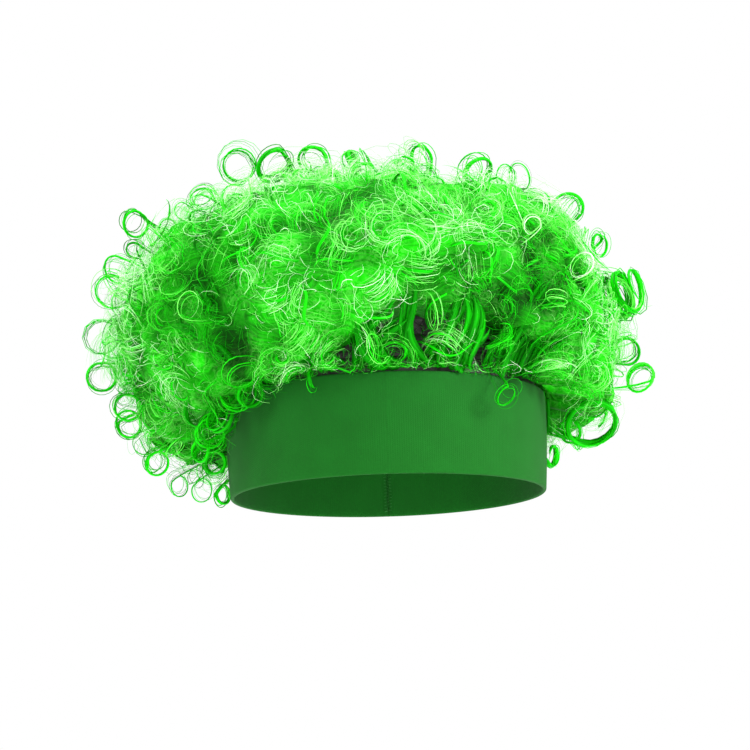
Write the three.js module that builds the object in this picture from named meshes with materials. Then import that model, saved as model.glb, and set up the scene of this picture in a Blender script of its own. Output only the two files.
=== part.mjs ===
// Headband wig: a stretch-knit headband, a net cap sewn inside its top edge, and rows of curled
// hair wefts sewn round the cap, each row a puff of the hair's outer form.
// Millimetres, +Z up, the front faces -Y. The origin is the middle of the headband's lower rim,
// where the head goes in. Azimuth 0 is the front, and a quarter turn is the right side as seen
// from the front, at +X.
import * as THREE from "three";

// Driving dimensions
const BAND = { halfWidth: 79, halfDepth: 98, height: 48, wall: 2, fold: 0.6 };
const SEAM = { halfWidth: 2, slope: 0.8, raise: 0.7 };
const CAP = { rim: 42, top: 114, wall: 1.2, roundness: 2.3, bandGap: 0.4 };
const HAIR = {
  top: 157,
  middle: 62,
  crownRoundness: 2.45,
  hemRoundness: 1.6,
  hemTop: 62,
  waistShare: 0.6,
  capGap: 0.6,
  bandGap: 1,
  rowGap: 0.004,
};

// Curls stand out of the hair's form, and their height swings a little round the head.
const CURL = { height: 11, mean: 0.85, swing: 0.15, swings: 3 };

// Facets: columns round the head, steps down the cap, steps across a row's outside and its root, and
// the share of the way down where the first ring round a pole lies.
const COLUMNS = 72;
const CAP_STEPS = 5;
const ROW_STEPS = 5;
const ROOT_STEPS = 2;
const POLE_SHARE = 0.1;

// The knit wall's side shape, from the lower fold to the upper one: lean is how far the outside
// stands beyond the band's oval.
const BAND_PROFILE = [
  { height: BAND.fold, lean: -1.0 },
  { height: 4, lean: -0.2 },
  { height: 24, lean: 0.5 },
  { height: 42, lean: -0.4 },
  { height: BAND.height - BAND.fold, lean: -1.2 },
];

// The hair's outer form, a row for each eighth of a turn from the front: how far out it reaches, the
// height where it is widest, the height of its lower edge, and how far that edge stands off the band.
const FORM = [
  { side: "front", reach: 121, waist: 104, hem: 46, flare: 4 },
  { side: "front right", reach: 115, waist: 98, hem: 42, flare: 6 },
  { side: "right", reach: 114, waist: 82, hem: 22, flare: 9 },
  { side: "back right", reach: 130, waist: 80, hem: 14, flare: 10 },
  { side: "back", reach: 143, waist: 78, hem: 11, flare: 10 },
  { side: "back left", reach: 144, waist: 76, hem: 8, flare: 10 },
  { side: "left", reach: 140, waist: 74, hem: 6, flare: 10 },
  { side: "front left", reach: 127, waist: 94, hem: 38, flare: 7 },
];

// The sewn rows of hair above the band, crown first: the stretch of the cap that each row grows from
// and the stretch of the outer form that it fills, both as shares of the way down, its curls round the
// head and where the first one starts, in curls. The last row fills the form down to the hem row.
const WEFTS = [
  { name: "crown_weft", capFrom: 0, capTo: 0.3, outFrom: 0, outTo: 0.22, curls: 9, first: 0 },
  { name: "upper_weft", capFrom: 0.3, capTo: 0.55, outFrom: 0.22, outTo: 0.41, curls: 18, first: 0.5 },
  { name: "middle_weft", capFrom: 0.55, capTo: 0.77, outFrom: 0.41, outTo: 0.56, curls: 24, first: 0 },
  { name: "lower_weft", capFrom: 0.77, capTo: 0.94, outFrom: 0.56, outTo: null, curls: 24, first: 0.5 },
];
const HEM_WEFT = { name: "hem_weft", capFrom: 0.95, curls: 24, first: 0 };

const QUARTER = Math.PI / 2;
const TURN = 4 * QUARTER;
const leanAtTop = BAND_PROFILE.at(-1).lean;
const widestLean = Math.max(...BAND_PROFILE.map((row) => row.lean));
const bandHairGrow = widestLean + HAIR.bandGap;

const columnAzimuths = Array.from({ length: COLUMNS }, (_, i) => (i * TURN) / COLUMNS);

// A point of the band's oval, grown outwards, at a height.
function ovalPoint(azimuth, grow, height) {
  const x = (BAND.halfWidth + grow) * Math.sin(azimuth);
  const y = -(BAND.halfDepth + grow) * Math.cos(azimuth);
  return new THREE.Vector3(x, y, height);
}

// A closed ring through one section for each azimuth. A section is a closed loop that runs up its
// outer side and down its inner side.
function ringGeometry(azimuths, sectionAt) {
  const sections = azimuths.map(sectionAt);
  const count = sections[0].length;
  const at = (i, j) => (i % sections.length) * count + (j % count);
  const index = [];
  for (let i = 0; i < sections.length; i++) {
    for (let j = 0; j < count; j++) {
      index.push(at(i, j), at(i + 1, j), at(i + 1, j + 1));
      index.push(at(i, j), at(i + 1, j + 1), at(i, j + 1));
    }
  }
  return new THREE.BufferGeometry().setFromPoints(sections.flat()).setIndex(index);
}

// A closed shell through one path for each azimuth, from an inner pole down its inside and up its
// outside to an outer pole.
function domeGeometry(azimuths, innerPole, pathAt, outerPole) {
  const paths = azimuths.map(pathAt);
  const count = paths[0].length;
  const at = (i, j) => 1 + (i % paths.length) * count + j;
  const last = 1 + paths.length * count;
  const index = [];
  for (let i = 0; i < paths.length; i++) {
    index.push(0, at(i + 1, 0), at(i, 0));
    for (let j = 0; j + 1 < count; j++) {
      index.push(at(i, j), at(i + 1, j), at(i + 1, j + 1));
      index.push(at(i, j), at(i + 1, j + 1), at(i, j + 1));
    }
    index.push(at(i, count - 1), at(i + 1, count - 1), last);
  }
  const points = [innerPole, ...paths.flat(), outerPole];
  return new THREE.BufferGeometry().setFromPoints(points).setIndex(index);
}

// The shares from first to last in equal steps, both ends included.
function shares(first, last, steps) {
  return Array.from({ length: steps + 1 }, (_, i) => first + ((last - first) * i) / steps);
}

// How far the joining seam at the back stands in from the band's inner face.
function seamRaise(azimuth) {
  if (Math.cos(azimuth) > 0) return 0;
  const aside = Math.abs(BAND.halfWidth * Math.sin(azimuth)) - SEAM.halfWidth;
  return SEAM.raise * THREE.MathUtils.clamp(1 - aside / SEAM.slope, 0, 1);
}

// Headband: one double wall of knit with a soft fold at both rims and a seam inside its back.
function headbandGeometry() {
  const crest = SEAM.halfWidth / BAND.halfWidth;
  const foot = (SEAM.halfWidth + SEAM.slope) / BAND.halfWidth;
  const seamAzimuths = [-foot, -crest, crest, foot].map((offset) => Math.PI + offset);
  const azimuths = [...columnAzimuths, ...seamAzimuths].sort((a, b) => a - b);
  const foldLean = -BAND.wall / 2;
  return ringGeometry(azimuths, (azimuth) => {
    const outside = BAND_PROFILE.map((row) => ovalPoint(azimuth, row.lean, row.height));
    const innerGrow = -BAND.wall - seamRaise(azimuth);
    const inside = BAND_PROFILE.map((row) => ovalPoint(azimuth, row.lean + innerGrow, row.height));
    const lowerFold = ovalPoint(azimuth, BAND_PROFILE[0].lean + foldLean, 0);
    const upperFold = ovalPoint(azimuth, leanAtTop + foldLean, BAND.height);
    return [lowerFold, ...outside, upperFold, ...inside.reverse()];
  });
}

// A point of the cap's outside, a share of the way from its crown to its rim, grown outwards.
function capPoint(azimuth, share, grow) {
  const power = 2 / CAP.roundness;
  const out = Math.sin(share * QUARTER) ** power;
  const up = Math.cos(share * QUARTER) ** power;
  const rimGrow = leanAtTop - BAND.wall - CAP.bandGap;
  const point = ovalPoint(azimuth, rimGrow + grow, 0).multiplyScalar(out);
  return point.setZ(CAP.rim + (CAP.top - CAP.rim + grow) * up);
}

// Wig cap: a thin net dome, open below, whose rim tucks inside the headband.
function wigCapGeometry() {
  const steps = shares(POLE_SHARE, 1, CAP_STEPS);
  const innerPole = new THREE.Vector3(0, 0, CAP.top - CAP.wall);
  const outerPole = new THREE.Vector3(0, 0, CAP.top);
  return domeGeometry(columnAzimuths, innerPole, (azimuth) => {
    const inside = steps.map((share) => capPoint(azimuth, share, -CAP.wall));
    const outside = steps.map((share) => capPoint(azimuth, share, 0));
    return [...inside, ...outside.reverse()];
  }, outerPole);
}

// One column of the form table at an azimuth, on a smooth closed curve through its rows.
function formAt(column, azimuth) {
  const place = (azimuth / TURN) * FORM.length;
  const first = Math.floor(place);
  const valueAt = (row) => FORM[(row + FORM.length) % FORM.length][column];
  const [a, b, c, d] = [-1, 0, 1, 2].map((step) => valueAt(first + step));
  const t = place - first;
  return b + 0.5 * t * (c - a + t * (2 * a - 5 * b + 4 * c - d + t * (3 * (b - c) + d - a)));
}

// The share of the way down the outer form where the hem row starts.
function hemStart(azimuth) {
  const waist = formAt("waist", azimuth);
  const fall = (waist - HAIR.hemTop) / (waist - formAt("hem", azimuth));
  const turn = Math.asin(fall ** (HAIR.hemRoundness / 2)) / QUARTER;
  return HAIR.waistShare + (1 - HAIR.waistShare) * turn;
}

// A point of the smooth outer form: a rounded dome down to the waist, then a rounded fall to the hem.
function formPoint(azimuth, share) {
  const reach = formAt("reach", azimuth);
  const waist = formAt("waist", azimuth);
  const out = new THREE.Vector3(Math.sin(azimuth), -Math.cos(azimuth), 0);
  if (share <= HAIR.waistShare) {
    const power = 2 / HAIR.crownRoundness;
    const turn = (share / HAIR.waistShare) * QUARTER;
    out.multiplyScalar(reach * Math.sin(turn) ** power);
    return out.setZ(waist + (HAIR.top - waist) * Math.cos(turn) ** power);
  }
  const power = 2 / HAIR.hemRoundness;
  const turn = ((share - HAIR.waistShare) / (1 - HAIR.waistShare)) * QUARTER;
  const hemGrow = bandHairGrow + formAt("flare", azimuth);
  const end = ovalPoint(azimuth, hemGrow, formAt("hem", azimuth));
  const widest = out.multiplyScalar(reach).setZ(waist);
  const inward = 1 - Math.cos(turn) ** power;
  const down = Math.sin(turn) ** power;
  const point = widest.clone().lerp(end, inward);
  return point.setZ(THREE.MathUtils.lerp(waist, end.z, down));
}

// The outer form with the row's curls standing out of it: bulges round the head that die away at the
// row's edges.
function curlPoint(azimuth, share, across, weft) {
  const point = formPoint(azimuth, share);
  const bulge = Math.abs(Math.sin((weft.curls * azimuth) / 2 + weft.first * Math.PI));
  const uneven = CURL.mean + CURL.swing * Math.sin(CURL.swings * azimuth + weft.curls);
  const height = CURL.height * bulge * uneven * Math.sin(Math.PI * across);
  const outwards = point.clone().setZ(point.z - HAIR.middle).normalize();
  return point.addScaledVector(outwards, height);
}

// The outside of a row from its lower edge to its upper one.
function rowOutside(azimuth, from, to, weft) {
  const rise = shares(1, 0, ROW_STEPS);
  return rise.map((across) => curlPoint(azimuth, from + (to - from) * across, across, weft));
}

// The root of a row on the cap, from its upper edge to its lower one.
function rowRoot(azimuth, weft) {
  const down = shares(weft.capFrom + HAIR.rowGap, weft.capTo - HAIR.rowGap, ROOT_STEPS);
  return down.map((share) => capPoint(azimuth, share, HAIR.capGap));
}

// A ring of hair above the band, from the cap to the outer form.
function weftRingGeometry(weft) {
  return ringGeometry(columnAzimuths, (azimuth) => {
    const to = (weft.outTo ?? hemStart(azimuth)) - HAIR.rowGap;
    const outside = rowOutside(azimuth, weft.outFrom + HAIR.rowGap, to, weft);
    return [...outside, ...rowRoot(azimuth, weft)];
  });
}

// The round puff of hair on the crown.
function crownGeometry(weft) {
  const innerPole = new THREE.Vector3(0, 0, CAP.top + HAIR.capGap);
  const outerPole = new THREE.Vector3(0, 0, HAIR.top + CURL.height / 2);
  const to = weft.outTo - HAIR.rowGap;
  const down = shares(POLE_SHARE, weft.capTo - HAIR.rowGap, ROOT_STEPS);
  const rise = shares(1, 1 / ROW_STEPS, ROW_STEPS - 1);
  return domeGeometry(columnAzimuths, innerPole, (azimuth) => {
    const inside = down.map((share) => capPoint(azimuth, share, HAIR.capGap));
    const outside = rise.map((across) => curlPoint(azimuth, to * across, across, weft));
    return [...inside, ...outside];
  }, outerPole);
}

// The lowest row: it grows from the cap's edge, passes over the band's upper fold and hangs outside
// the band.
function hemGeometry() {
  return ringGeometry(columnAzimuths, (azimuth) => {
    const from = hemStart(azimuth) + HAIR.rowGap;
    const outside = rowOutside(azimuth, from, 1, HEM_WEFT);
    const root = capPoint(azimuth, HEM_WEFT.capFrom, HAIR.capGap);
    const overFold = ovalPoint(azimuth, bandHairGrow, BAND.height + HAIR.bandGap);
    const lowerEdge = ovalPoint(azimuth, bandHairGrow, formAt("hem", azimuth));
    return [...outside, root, overFold, lowerEdge];
  });
}

const knit = new THREE.MeshStandardMaterial({ color: 0x277d2f, roughness: 0.85, metalness: 0 });
const net = new THREE.MeshStandardMaterial({ color: 0x2b3327, roughness: 0.9, metalness: 0 });
const curledFibre = new THREE.MeshStandardMaterial({ color: 0x28cc1c, roughness: 0.45, metalness: 0 });

function addPiece(group, name, geometry, material) {
  geometry.computeVertexNormals();
  const mesh = new THREE.Mesh(geometry, material);
  mesh.name = name;
  group.add(mesh);
}

const wig = new THREE.Group();
addPiece(wig, "headband", headbandGeometry(), knit);
addPiece(wig, "wig_cap", wigCapGeometry(), net);
for (const weft of WEFTS) {
  const geometry = weft.capFrom === 0 ? crownGeometry(weft) : weftRingGeometry(weft);
  addPiece(wig, weft.name, geometry, curledFibre);
}
addPiece(wig, HEM_WEFT.name, hemGeometry(), curledFibre);

export default wig;
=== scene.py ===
# %% [markdown]
# # A curly headband wig
# A puff of bright green curls on a plain knitted headband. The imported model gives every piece's place
# and size: a headband, a net cap and five rows of hair. This lesson dresses them. The band gets its
# soft folds and knit, the cap becomes a real net, and each row of hair becomes thousands of curled
# strands. Everything is worked out as whole numpy arrays, so each step is a few lines.

# %% Load the frame
import math

import bpy
import numpy as np
from mathutils import Matrix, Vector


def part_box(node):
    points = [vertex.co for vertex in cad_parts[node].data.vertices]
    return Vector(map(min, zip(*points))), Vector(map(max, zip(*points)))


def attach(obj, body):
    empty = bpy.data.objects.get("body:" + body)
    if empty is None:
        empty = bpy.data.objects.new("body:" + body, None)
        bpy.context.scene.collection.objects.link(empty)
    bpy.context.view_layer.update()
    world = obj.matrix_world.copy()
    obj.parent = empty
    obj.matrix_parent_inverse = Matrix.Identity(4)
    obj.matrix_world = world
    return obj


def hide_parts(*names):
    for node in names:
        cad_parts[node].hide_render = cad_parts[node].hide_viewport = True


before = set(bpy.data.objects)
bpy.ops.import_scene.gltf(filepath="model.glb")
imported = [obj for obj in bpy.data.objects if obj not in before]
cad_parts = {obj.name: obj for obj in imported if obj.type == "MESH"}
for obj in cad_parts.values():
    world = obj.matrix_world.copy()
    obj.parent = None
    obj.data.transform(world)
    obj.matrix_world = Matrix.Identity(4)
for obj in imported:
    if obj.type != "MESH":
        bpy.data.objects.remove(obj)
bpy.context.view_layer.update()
MM = 0.001
TURN = 2 * math.pi
print("nodes:", sorted(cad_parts))

# %% [markdown]
# ## Small helpers
# Colours are written as sRGB hex codes, because that is how a colour is picked from a swatch, but
# shaders add up linear light, so one function converts them. One function adds a node with its settings
# and links. One function turns arrays into a mesh: bmesh could do it too, but foreach_set takes whole
# arrays and stays fast with hundreds of thousands of faces.

# %% Colours and nodes


def linear(code):
    """A hex colour as linear RGBA: the sRGB curve is a straight foot below 0.04 and a power of 2.4 above."""
    share = np.array([int(code[i:i + 2], 16) for i in (1, 3, 5)]) / 255
    curve = np.where(share <= 0.04045, share / 12.92, ((share + 0.055) / 1.055) ** 2.4)
    return (*curve.tolist(), 1.0)


def fill(node, inputs):
    """Fills inputs: a node is linked by its first output, a socket is linked, any other value is set."""
    for name, value in inputs.items():
        if isinstance(value, bpy.types.Node):
            value = value.outputs[0]
        if isinstance(value, bpy.types.NodeSocket):
            node.id_data.links.new(value, node.inputs[name])
        else:
            node.inputs[name].default_value = value


def add_node(tree, kind, inputs=None, **settings):
    """Adds a shader node, sets its properties and fills its inputs."""
    node = tree.nodes.new("ShaderNode" + kind)
    for name, value in settings.items():
        setattr(node, name, value)
    fill(node, inputs or {})
    return node


def new_material(name, roughness):
    """A material with its tree and its Principled shader, which every finish here starts from."""
    material = bpy.data.materials.new(name)
    material.use_nodes = True
    shader = material.node_tree.nodes["Principled BSDF"]
    fill(shader, {"Roughness": roughness})
    return material, material.node_tree, shader


print("white is", linear("#ffffff"))

# %% Arrays into pieces


def add_object(name, data):
    """An object with its data, in the scene."""
    thing = bpy.data.objects.new(name, data)
    bpy.context.scene.collection.objects.link(thing)
    return thing


def make_piece(name, points, faces, material, slot, maps=None, colours_with_shade=None, node=None):
    """Puts arrays into a mesh object that rides on the wig's one body: points by xyz, faces as arrays of
    corner numbers, each UV map by face corner, and an optional colour for each point, which carries the tone
    with painted shade and light."""
    mesh = bpy.data.meshes.new(name)
    corners = np.concatenate([group.ravel() for group in faces])
    sizes = np.concatenate([np.full(len(group), group.shape[1]) for group in faces])
    starts = np.concatenate([[0], np.cumsum(sizes)[:-1]])
    mesh.vertices.add(len(points))
    mesh.vertices.foreach_set("co", np.asarray(points, np.float32).ravel())
    mesh.loops.add(len(corners))
    mesh.loops.foreach_set("vertex_index", corners.astype(np.int32))
    mesh.polygons.add(len(sizes))
    mesh.polygons.foreach_set("loop_start", starts.astype(np.int32))
    mesh.update(calc_edges=True)
    mesh.polygons.foreach_set("use_smooth", np.ones(len(sizes), bool))
    for map_name, places in (maps or {}).items():
        layer = mesh.uv_layers.new(name=map_name)
        layer.data.foreach_set("uv", np.asarray(places, np.float32).ravel())
    # The point colour holds painted shade and light, and for strands their tone too.
    if colours_with_shade is not None:
        layer = mesh.color_attributes.new("tone_with_painted_shade", "FLOAT_COLOR", "POINT")
        layer.data.foreach_set("color", np.asarray(colours_with_shade, np.float32).ravel())
    mesh.materials.append(material)
    piece = add_object(name, mesh)
    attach(piece, "root")
    if node:
        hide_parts(node)
    print(name, "faces:", len(sizes), "triangles:", int((sizes - 2).sum()))
    return piece


def unit(vectors):
    """Each vector divided by its length."""
    return vectors / np.maximum(np.linalg.norm(vectors, axis=-1, keepdims=True), 1e-12)


def eased(share):
    """A smooth step from 0 to 1: three squares less two cubes."""
    share = np.clip(share, 0, 1)
    return share * share * (3 - 2 * share)


def steps_along(path):
    """The length of each step along a path, after a first one of zero."""
    return np.append(0, np.linalg.norm(np.diff(path, axis=0), axis=1))


# %% [markdown]
# ## The band's oval and the cap's dome
# The headband is an oval tube and the cap a dome inside its top edge. Their sizes are read from the
# frame. The dome is a rounded box of revolution: a circle's sine and cosine raised to a power below 1
# give it fuller shoulders than a ball has.

# %% Measure the band and the cap
band_low, band_high = (np.array(corner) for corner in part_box("headband"))
cap_low, cap_high = (np.array(corner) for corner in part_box("wig_cap"))
BAND_HALF = (band_high - band_low)[:2] / 2
BAND_TOP = band_high[2]
CAP_HALF = (cap_high - cap_low)[:2] / 2
CAP_RIM, CAP_TOP = cap_low[2], cap_high[2]
CAP_ROUNDNESS = 2.3


def oval_point(azimuth, half, height):
    """A point of an upright oval: half width times sine to the right, half depth times cosine forwards."""
    azimuth, height, half_x, half_y = np.broadcast_arrays(azimuth, height, half[..., 0], half[..., 1])
    return np.stack([half_x * np.sin(azimuth), -half_y * np.cos(azimuth), height], -1)


def dome_point(azimuth, share, grow):
    """A point of the cap, a share of the way from crown to rim: sine and cosine of the share's quarter
    turn, raised to 2 / roundness, give its part of the way out and up."""
    quarter = np.clip(share, 0, 1) * TURN / 4
    out = np.sin(quarter) ** (2 / CAP_ROUNDNESS)
    up = np.cos(quarter) ** (2 / CAP_ROUNDNESS)
    return oval_point(azimuth, (CAP_HALF + grow) * out[..., None], CAP_RIM + (CAP_TOP - CAP_RIM + grow) * up)


print("band half sizes mm:", BAND_HALF / MM, "cap half sizes mm:", CAP_HALF / MM)

# %% [markdown]
# ## Headband
# The band is a tube of stretch jersey folded double, so its edges are soft folds and not cut edges.
# A cloth simulation could make it, but a band stretched on a head has no free cloth left to fall: its
# shape is the oval it is stretched on. So its section, two faces and two round folds, is carried round
# the oval. Small waves stand in for the pull of the stitches at its top edge. The tube is joined at the
# back, where the seam shows inside as a low ridge.

# %% Headband surface
BAND_WALL = 2.0 * MM
LOWER_INSET, UPPER_INSET = 1.6 * MM, 0.7 * MM
BAND_COLUMNS, BAND_ROWS, FOLD_STEPS, MIDDLE_ROW = 216, 18, 6, 12
SEAM_HALF, SEAM_RAISE, SEAM_SLIT = 2.4 * MM, 0.6 * MM, 0.45 * MM
SEAM_STEPS, SLIT_SHARE = 33, 1.6
GATHERS, GATHER_DEPTH, GATHER_FADE = 64, 0.1 * MM, 4 * MM


def band_section():
    """The closed section as heights and depths into the wall: up the outside, over the top fold, down
    the inside and round the bottom fold, with folds as half circles as wide as the wall."""
    fold = BAND_WALL / 2
    rise = np.linspace(fold, BAND_TOP - fold, BAND_ROWS)
    turn = np.linspace(0, math.pi, FOLD_STEPS + 1)[1:-1]
    over = fold - fold * np.cos(turn)
    upper, lower = BAND_TOP - fold + fold * np.sin(turn), fold - fold * np.sin(turn)
    height = np.concatenate([rise, upper, rise[::-1], lower])
    depth = np.concatenate([0 * rise, over, 0 * rise + BAND_WALL, BAND_WALL - over])
    return height, depth


def band_inset(height):
    """How far the band's outside lies in from its widest oval: it narrows downwards by a square and is
    drawn in at the top."""
    share = height / BAND_TOP
    return LOWER_INSET * (1 - share) ** 2 + UPPER_INSET * share**6


def band_surface():
    """The section carried round the oval. The inside gets the seam at the back, two lips with a slit
    between them, which are bells of the distance from the middle of the back. Gathers are uneven waves
    that fade downwards from the top."""
    around = np.arange(BAND_COLUMNS) * TURN / BAND_COLUMNS
    fine = math.pi + np.linspace(-2, 2, SEAM_STEPS) * SEAM_HALF / BAND_HALF[0]
    azimuth = np.union1d(around, fine)[:, None]
    height, depth = band_section()
    aside = BAND_HALF[0] * np.sin(azimuth)
    lips = np.exp(-((aside / SEAM_HALF) ** 4)) - SLIT_SHARE * np.exp(-((aside / SEAM_SLIT) ** 2))
    seam = np.where(np.cos(azimuth) < 0, SEAM_RAISE * lips, 0) * (depth / BAND_WALL)
    pull = np.sin(GATHERS * azimuth + 2 * np.sin(5 * azimuth)) * (0.6 + 0.4 * np.sin(7 * azimuth))
    gather = GATHER_DEPTH * pull * np.exp((height - BAND_TOP) / GATHER_FADE)
    grow = gather - band_inset(height) - depth - seam
    return oval_point(azimuth, BAND_HALF + grow[..., None], height[None, :])


band_points = band_surface()
band_shape = band_points.shape[:2]
band_around = steps_along(band_points[:, MIDDLE_ROW]).cumsum() / MM
band_along = steps_along(band_points[0]).cumsum() / MM
print("band round mm:", round(band_around[-1]), "section mm:", round(band_along[-1]))

# %% [markdown]
# ## Stretch jersey
# Jersey is knitted from fine yarn in columns of V stitches. On this band a column is about 0.5 mm wide,
# too fine to show at this picture's scale, so it is drawn at 1.1 mm. The cloth is matt with a faint
# sheen from loose yarn ends. Its dye is even, with a slight cloudiness where the cloth is pulled.

# %% Jersey material
WALE, COURSE = 1.1, 0.9
CLOUDS_PER_MM = 0.06


def jersey_material():
    """Polyester jersey: knitted and piece-dyed, matt, with columns of V stitches that soften its light."""
    material, tree, shader = new_material("polyester_jersey", 0.78)
    place = add_node(tree, "UVMap", uv_map="cloth")
    axes = add_node(tree, "SeparateXYZ", {"Vector": place})
    column = add_node(tree, "Math", {0: axes, 1: WALE}, operation="DIVIDE")
    inside = add_node(tree, "Math", {0: column, 1: 1.0}, operation="PINGPONG")
    course = add_node(tree, "Math", {0: axes.outputs["Y"], 1: COURSE}, operation="DIVIDE")
    slanted = add_node(tree, "Math", {0: course, 1: inside}, operation="ADD")
    angle = add_node(tree, "Math", {0: slanted, 1: TURN}, operation="MULTIPLY")
    stitch = add_node(tree, "Math", {0: angle}, operation="SINE")
    groove = add_node(tree, "Math", {0: inside, 1: math.pi}, operation="MULTIPLY")
    ridge = add_node(tree, "Math", {0: groove}, operation="SINE")
    knit = add_node(tree, "Math", {0: stitch, 1: 0.35, 2: ridge}, operation="MULTIPLY_ADD")
    cloud = add_node(tree, "TexNoise", {"Vector": place, "Scale": CLOUDS_PER_MM, "Detail": 3.0})
    mixed = add_node(tree, "Math", {0: knit, 1: 0.12, 2: cloud}, operation="MULTIPLY_ADD")
    share = add_node(tree, "MapRange", {"Value": mixed, "From Min": 0.35, "From Max": 0.8})
    colour = add_node(tree, "Mix", {"Factor": share, 6: linear("#0d4c11"), 7: linear("#0e5213")},
                      data_type="RGBA")
    bump = add_node(tree, "Bump", {"Height": knit, "Strength": 0.25, "Distance": 0.25 * MM})
    fill(shader, {"Base Color": colour.outputs[2], "Normal": bump, "Specular IOR Level": 0.06,
                  "Sheen Weight": 0.02, "Sheen Roughness": 0.5})
    return material


def jersey_thread():
    """Polyester sewing thread: spun and dyed to match the jersey, a little shinier and lighter."""
    material, _, shader = new_material("polyester_thread", 0.55)
    fill(shader, {"Base Color": linear("#1f7326")})
    return material


jersey = jersey_material()
print("material:", jersey.name)

# %% Headband piece


def ring_faces(columns, rows):
    """Quads of a grid that is closed both ways."""
    number = np.arange(columns * rows).reshape(columns, rows)
    east, north = np.roll(number, -1, 0), np.roll(number, -1, 1)
    return np.stack([number, east, np.roll(east, -1, 1), north], -1).reshape(-1, 4)


def ring_map(columns, rows, around, along):
    """UV places of a closed grid's corners, in millimetres round it and along its section, with the last
    strip running on past the end and not back to the start."""
    u = np.append(around, 2 * around[-1] - around[-2])
    v = np.append(along, 2 * along[-1] - along[-2])
    i, j = np.meshgrid(np.arange(columns), np.arange(rows), indexing="ij")
    corner_u = np.stack([u[i], u[i + 1], u[i + 1], u[i]], -1)
    corner_v = np.stack([v[j], v[j], v[j + 1], v[j + 1]], -1)
    return np.stack([corner_u, corner_v], -1).reshape(-1, 2)


cloth_map = ring_map(*band_shape, band_around, band_along)
headband = make_piece("headband_jersey", band_points.reshape(-1, 3), [ring_faces(*band_shape)], jersey,
                      "band_knit", {"cloth": cloth_map}, node="headband")

# %% [markdown]
# ## One tool for every thread, strand and strip
# A strand of hair, a net's thread and a strip of elastic are all the same thing to a modeller: a small
# profile carried along a path. Blender's curves could do it one object at a time. Here all paths of one
# kind are one array, so a thousand strands cost one call.

# %% Carry a profile along many paths
THREAD = np.array([[1, 0], [-0.5, 0.87], [-0.5, -0.87]])
ROUND = 0.5 * np.array([[1, 0], [0.5, 0.87], [-0.5, 0.87], [-1, 0], [-0.5, -0.87], [0.5, -0.87]])
RIBBON = np.array([[0.5, 0], [0, 0.5], [-0.5, 0]])
STRIP = np.array([[0.5, -0.5], [0.5, 0.5], [-0.5, 0.5], [-0.5, -0.5]])


def carried(paths, across, profile, widths, heights, closed=False):
    """Profiles carried along paths. paths is (paths, steps, xyz), across the way that a profile's width
    points, widths and heights its size at each step. A corner is path + width * side + height * normal,
    where side is across made square to the path, and normal is square to both. Returns the points and
    the faces: bands of quads between steps, and a lid on each end of an open path."""
    count, steps = paths.shape[:2]
    sides = len(profile)
    ahead = np.roll(paths, -1, 1) - np.roll(paths, 1, 1) if closed else np.gradient(paths, axis=1)
    along = unit(ahead)
    side = unit(across - (across * along).sum(-1, keepdims=True) * along)
    normal = np.cross(along, side)
    widths, heights = (np.broadcast_to(size, (count, steps)) for size in (widths, heights))
    wide = (widths[..., None] * side)[:, :, None] * profile[:, 0][:, None]
    high = (heights[..., None] * normal)[:, :, None] * profile[:, 1][:, None]
    points = (paths[:, :, None] + wide + high).reshape(-1, 3)
    number = np.arange(count * steps * sides).reshape(count, steps, sides)
    before = number if closed else number[:, :-1]
    after = np.roll(number, -1, 1) if closed else number[:, 1:]
    quads = np.stack([before, np.roll(before, -1, 2), np.roll(after, -1, 2), after], -1).reshape(-1, 4)
    lids = np.concatenate([number[:, 0, ::-1], number[:, -1]])
    return points, [quads] if closed else [quads, lids]


def joined(parts):
    """Several (points, faces) pairs as one."""
    firsts = np.cumsum([0] + [len(points) for points, _ in parts])
    faces = [group + first for (_, groups), first in zip(parts, firsts) for group in groups]
    return np.concatenate([points for points, _ in parts]), faces


print("corners of the profiles:", [len(profile) for profile in (THREAD, ROUND, RIBBON, STRIP)])

# %% [markdown]
# ## Seam stitches
# The band's ends are joined by a zigzag stitch across the two lips of the seam. A bump could hint at it,
# but the seam is seen from below and close to, so it is one real thread.

# %% Seam stitches
STITCHES, STITCH_HALF, STITCH_THICK, SEAM_END = 26, 1.9 * MM, 0.2 * MM, 2.5 * MM


def stitch_thread():
    """A zigzag up the back's inner face: left and right by turns, just proud of the lips."""
    step = np.arange(2 * STITCHES + 1)
    height = np.linspace(SEAM_END, BAND_TOP - SEAM_END, len(step))
    side = STITCH_HALF * np.where(step % 2, 1, -1)
    face = BAND_HALF[1] - band_inset(height) - BAND_WALL - SEAM_RAISE - STITCH_THICK / 2
    path = np.stack([side, face, height], -1)[None]
    return carried(path, np.array([0.0, 1.0, 0.0]), THREAD, STITCH_THICK, STITCH_THICK)


stitches = make_piece("seam_stitches", *stitch_thread(), jersey_thread(), "band_knit")

# %% [markdown]
# ## Wig cap
# The cap is a stretch net. Two families of thin threads cross as diamonds, elastic strips run up to the
# crown, and the hair's wefts are sewn on rings of narrow tape. Along the rim the tapes lie edge to edge
# as a lining. A pattern of holes painted on a dome would do from far off, but the inside of the cap is
# what a wearer sees, so each thread is there. A thread leans as it climbs so that its diamonds stay
# square: the turn it makes on a short stretch is that stretch's length divided by the dome's width.

# %% Net cap
NET_THREADS, NET_STEPS, NET_THICK = 92, 20, 0.32 * MM
CROWN_THREADS, CROWN_STEPS = 34, 10
CROWN_SHARE, POLE_SHARE, RIM_SHARE = 0.32, 0.05, 0.995
NET_SINK = -0.6 * MM
TAPE_SHARES = (0.05, 0.18, 0.32, 0.46, 0.6, 0.72, 0.835, 0.865, 0.895, 0.925, 0.953, 0.98)
TAPE_WIDE, TAPE_THICK, TAPE_STEPS = 5.2 * MM, 0.7 * MM, 120
ELASTICS, ELASTIC_WIDE, ELASTIC_STEPS = 10, 6 * MM, 30


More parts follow.
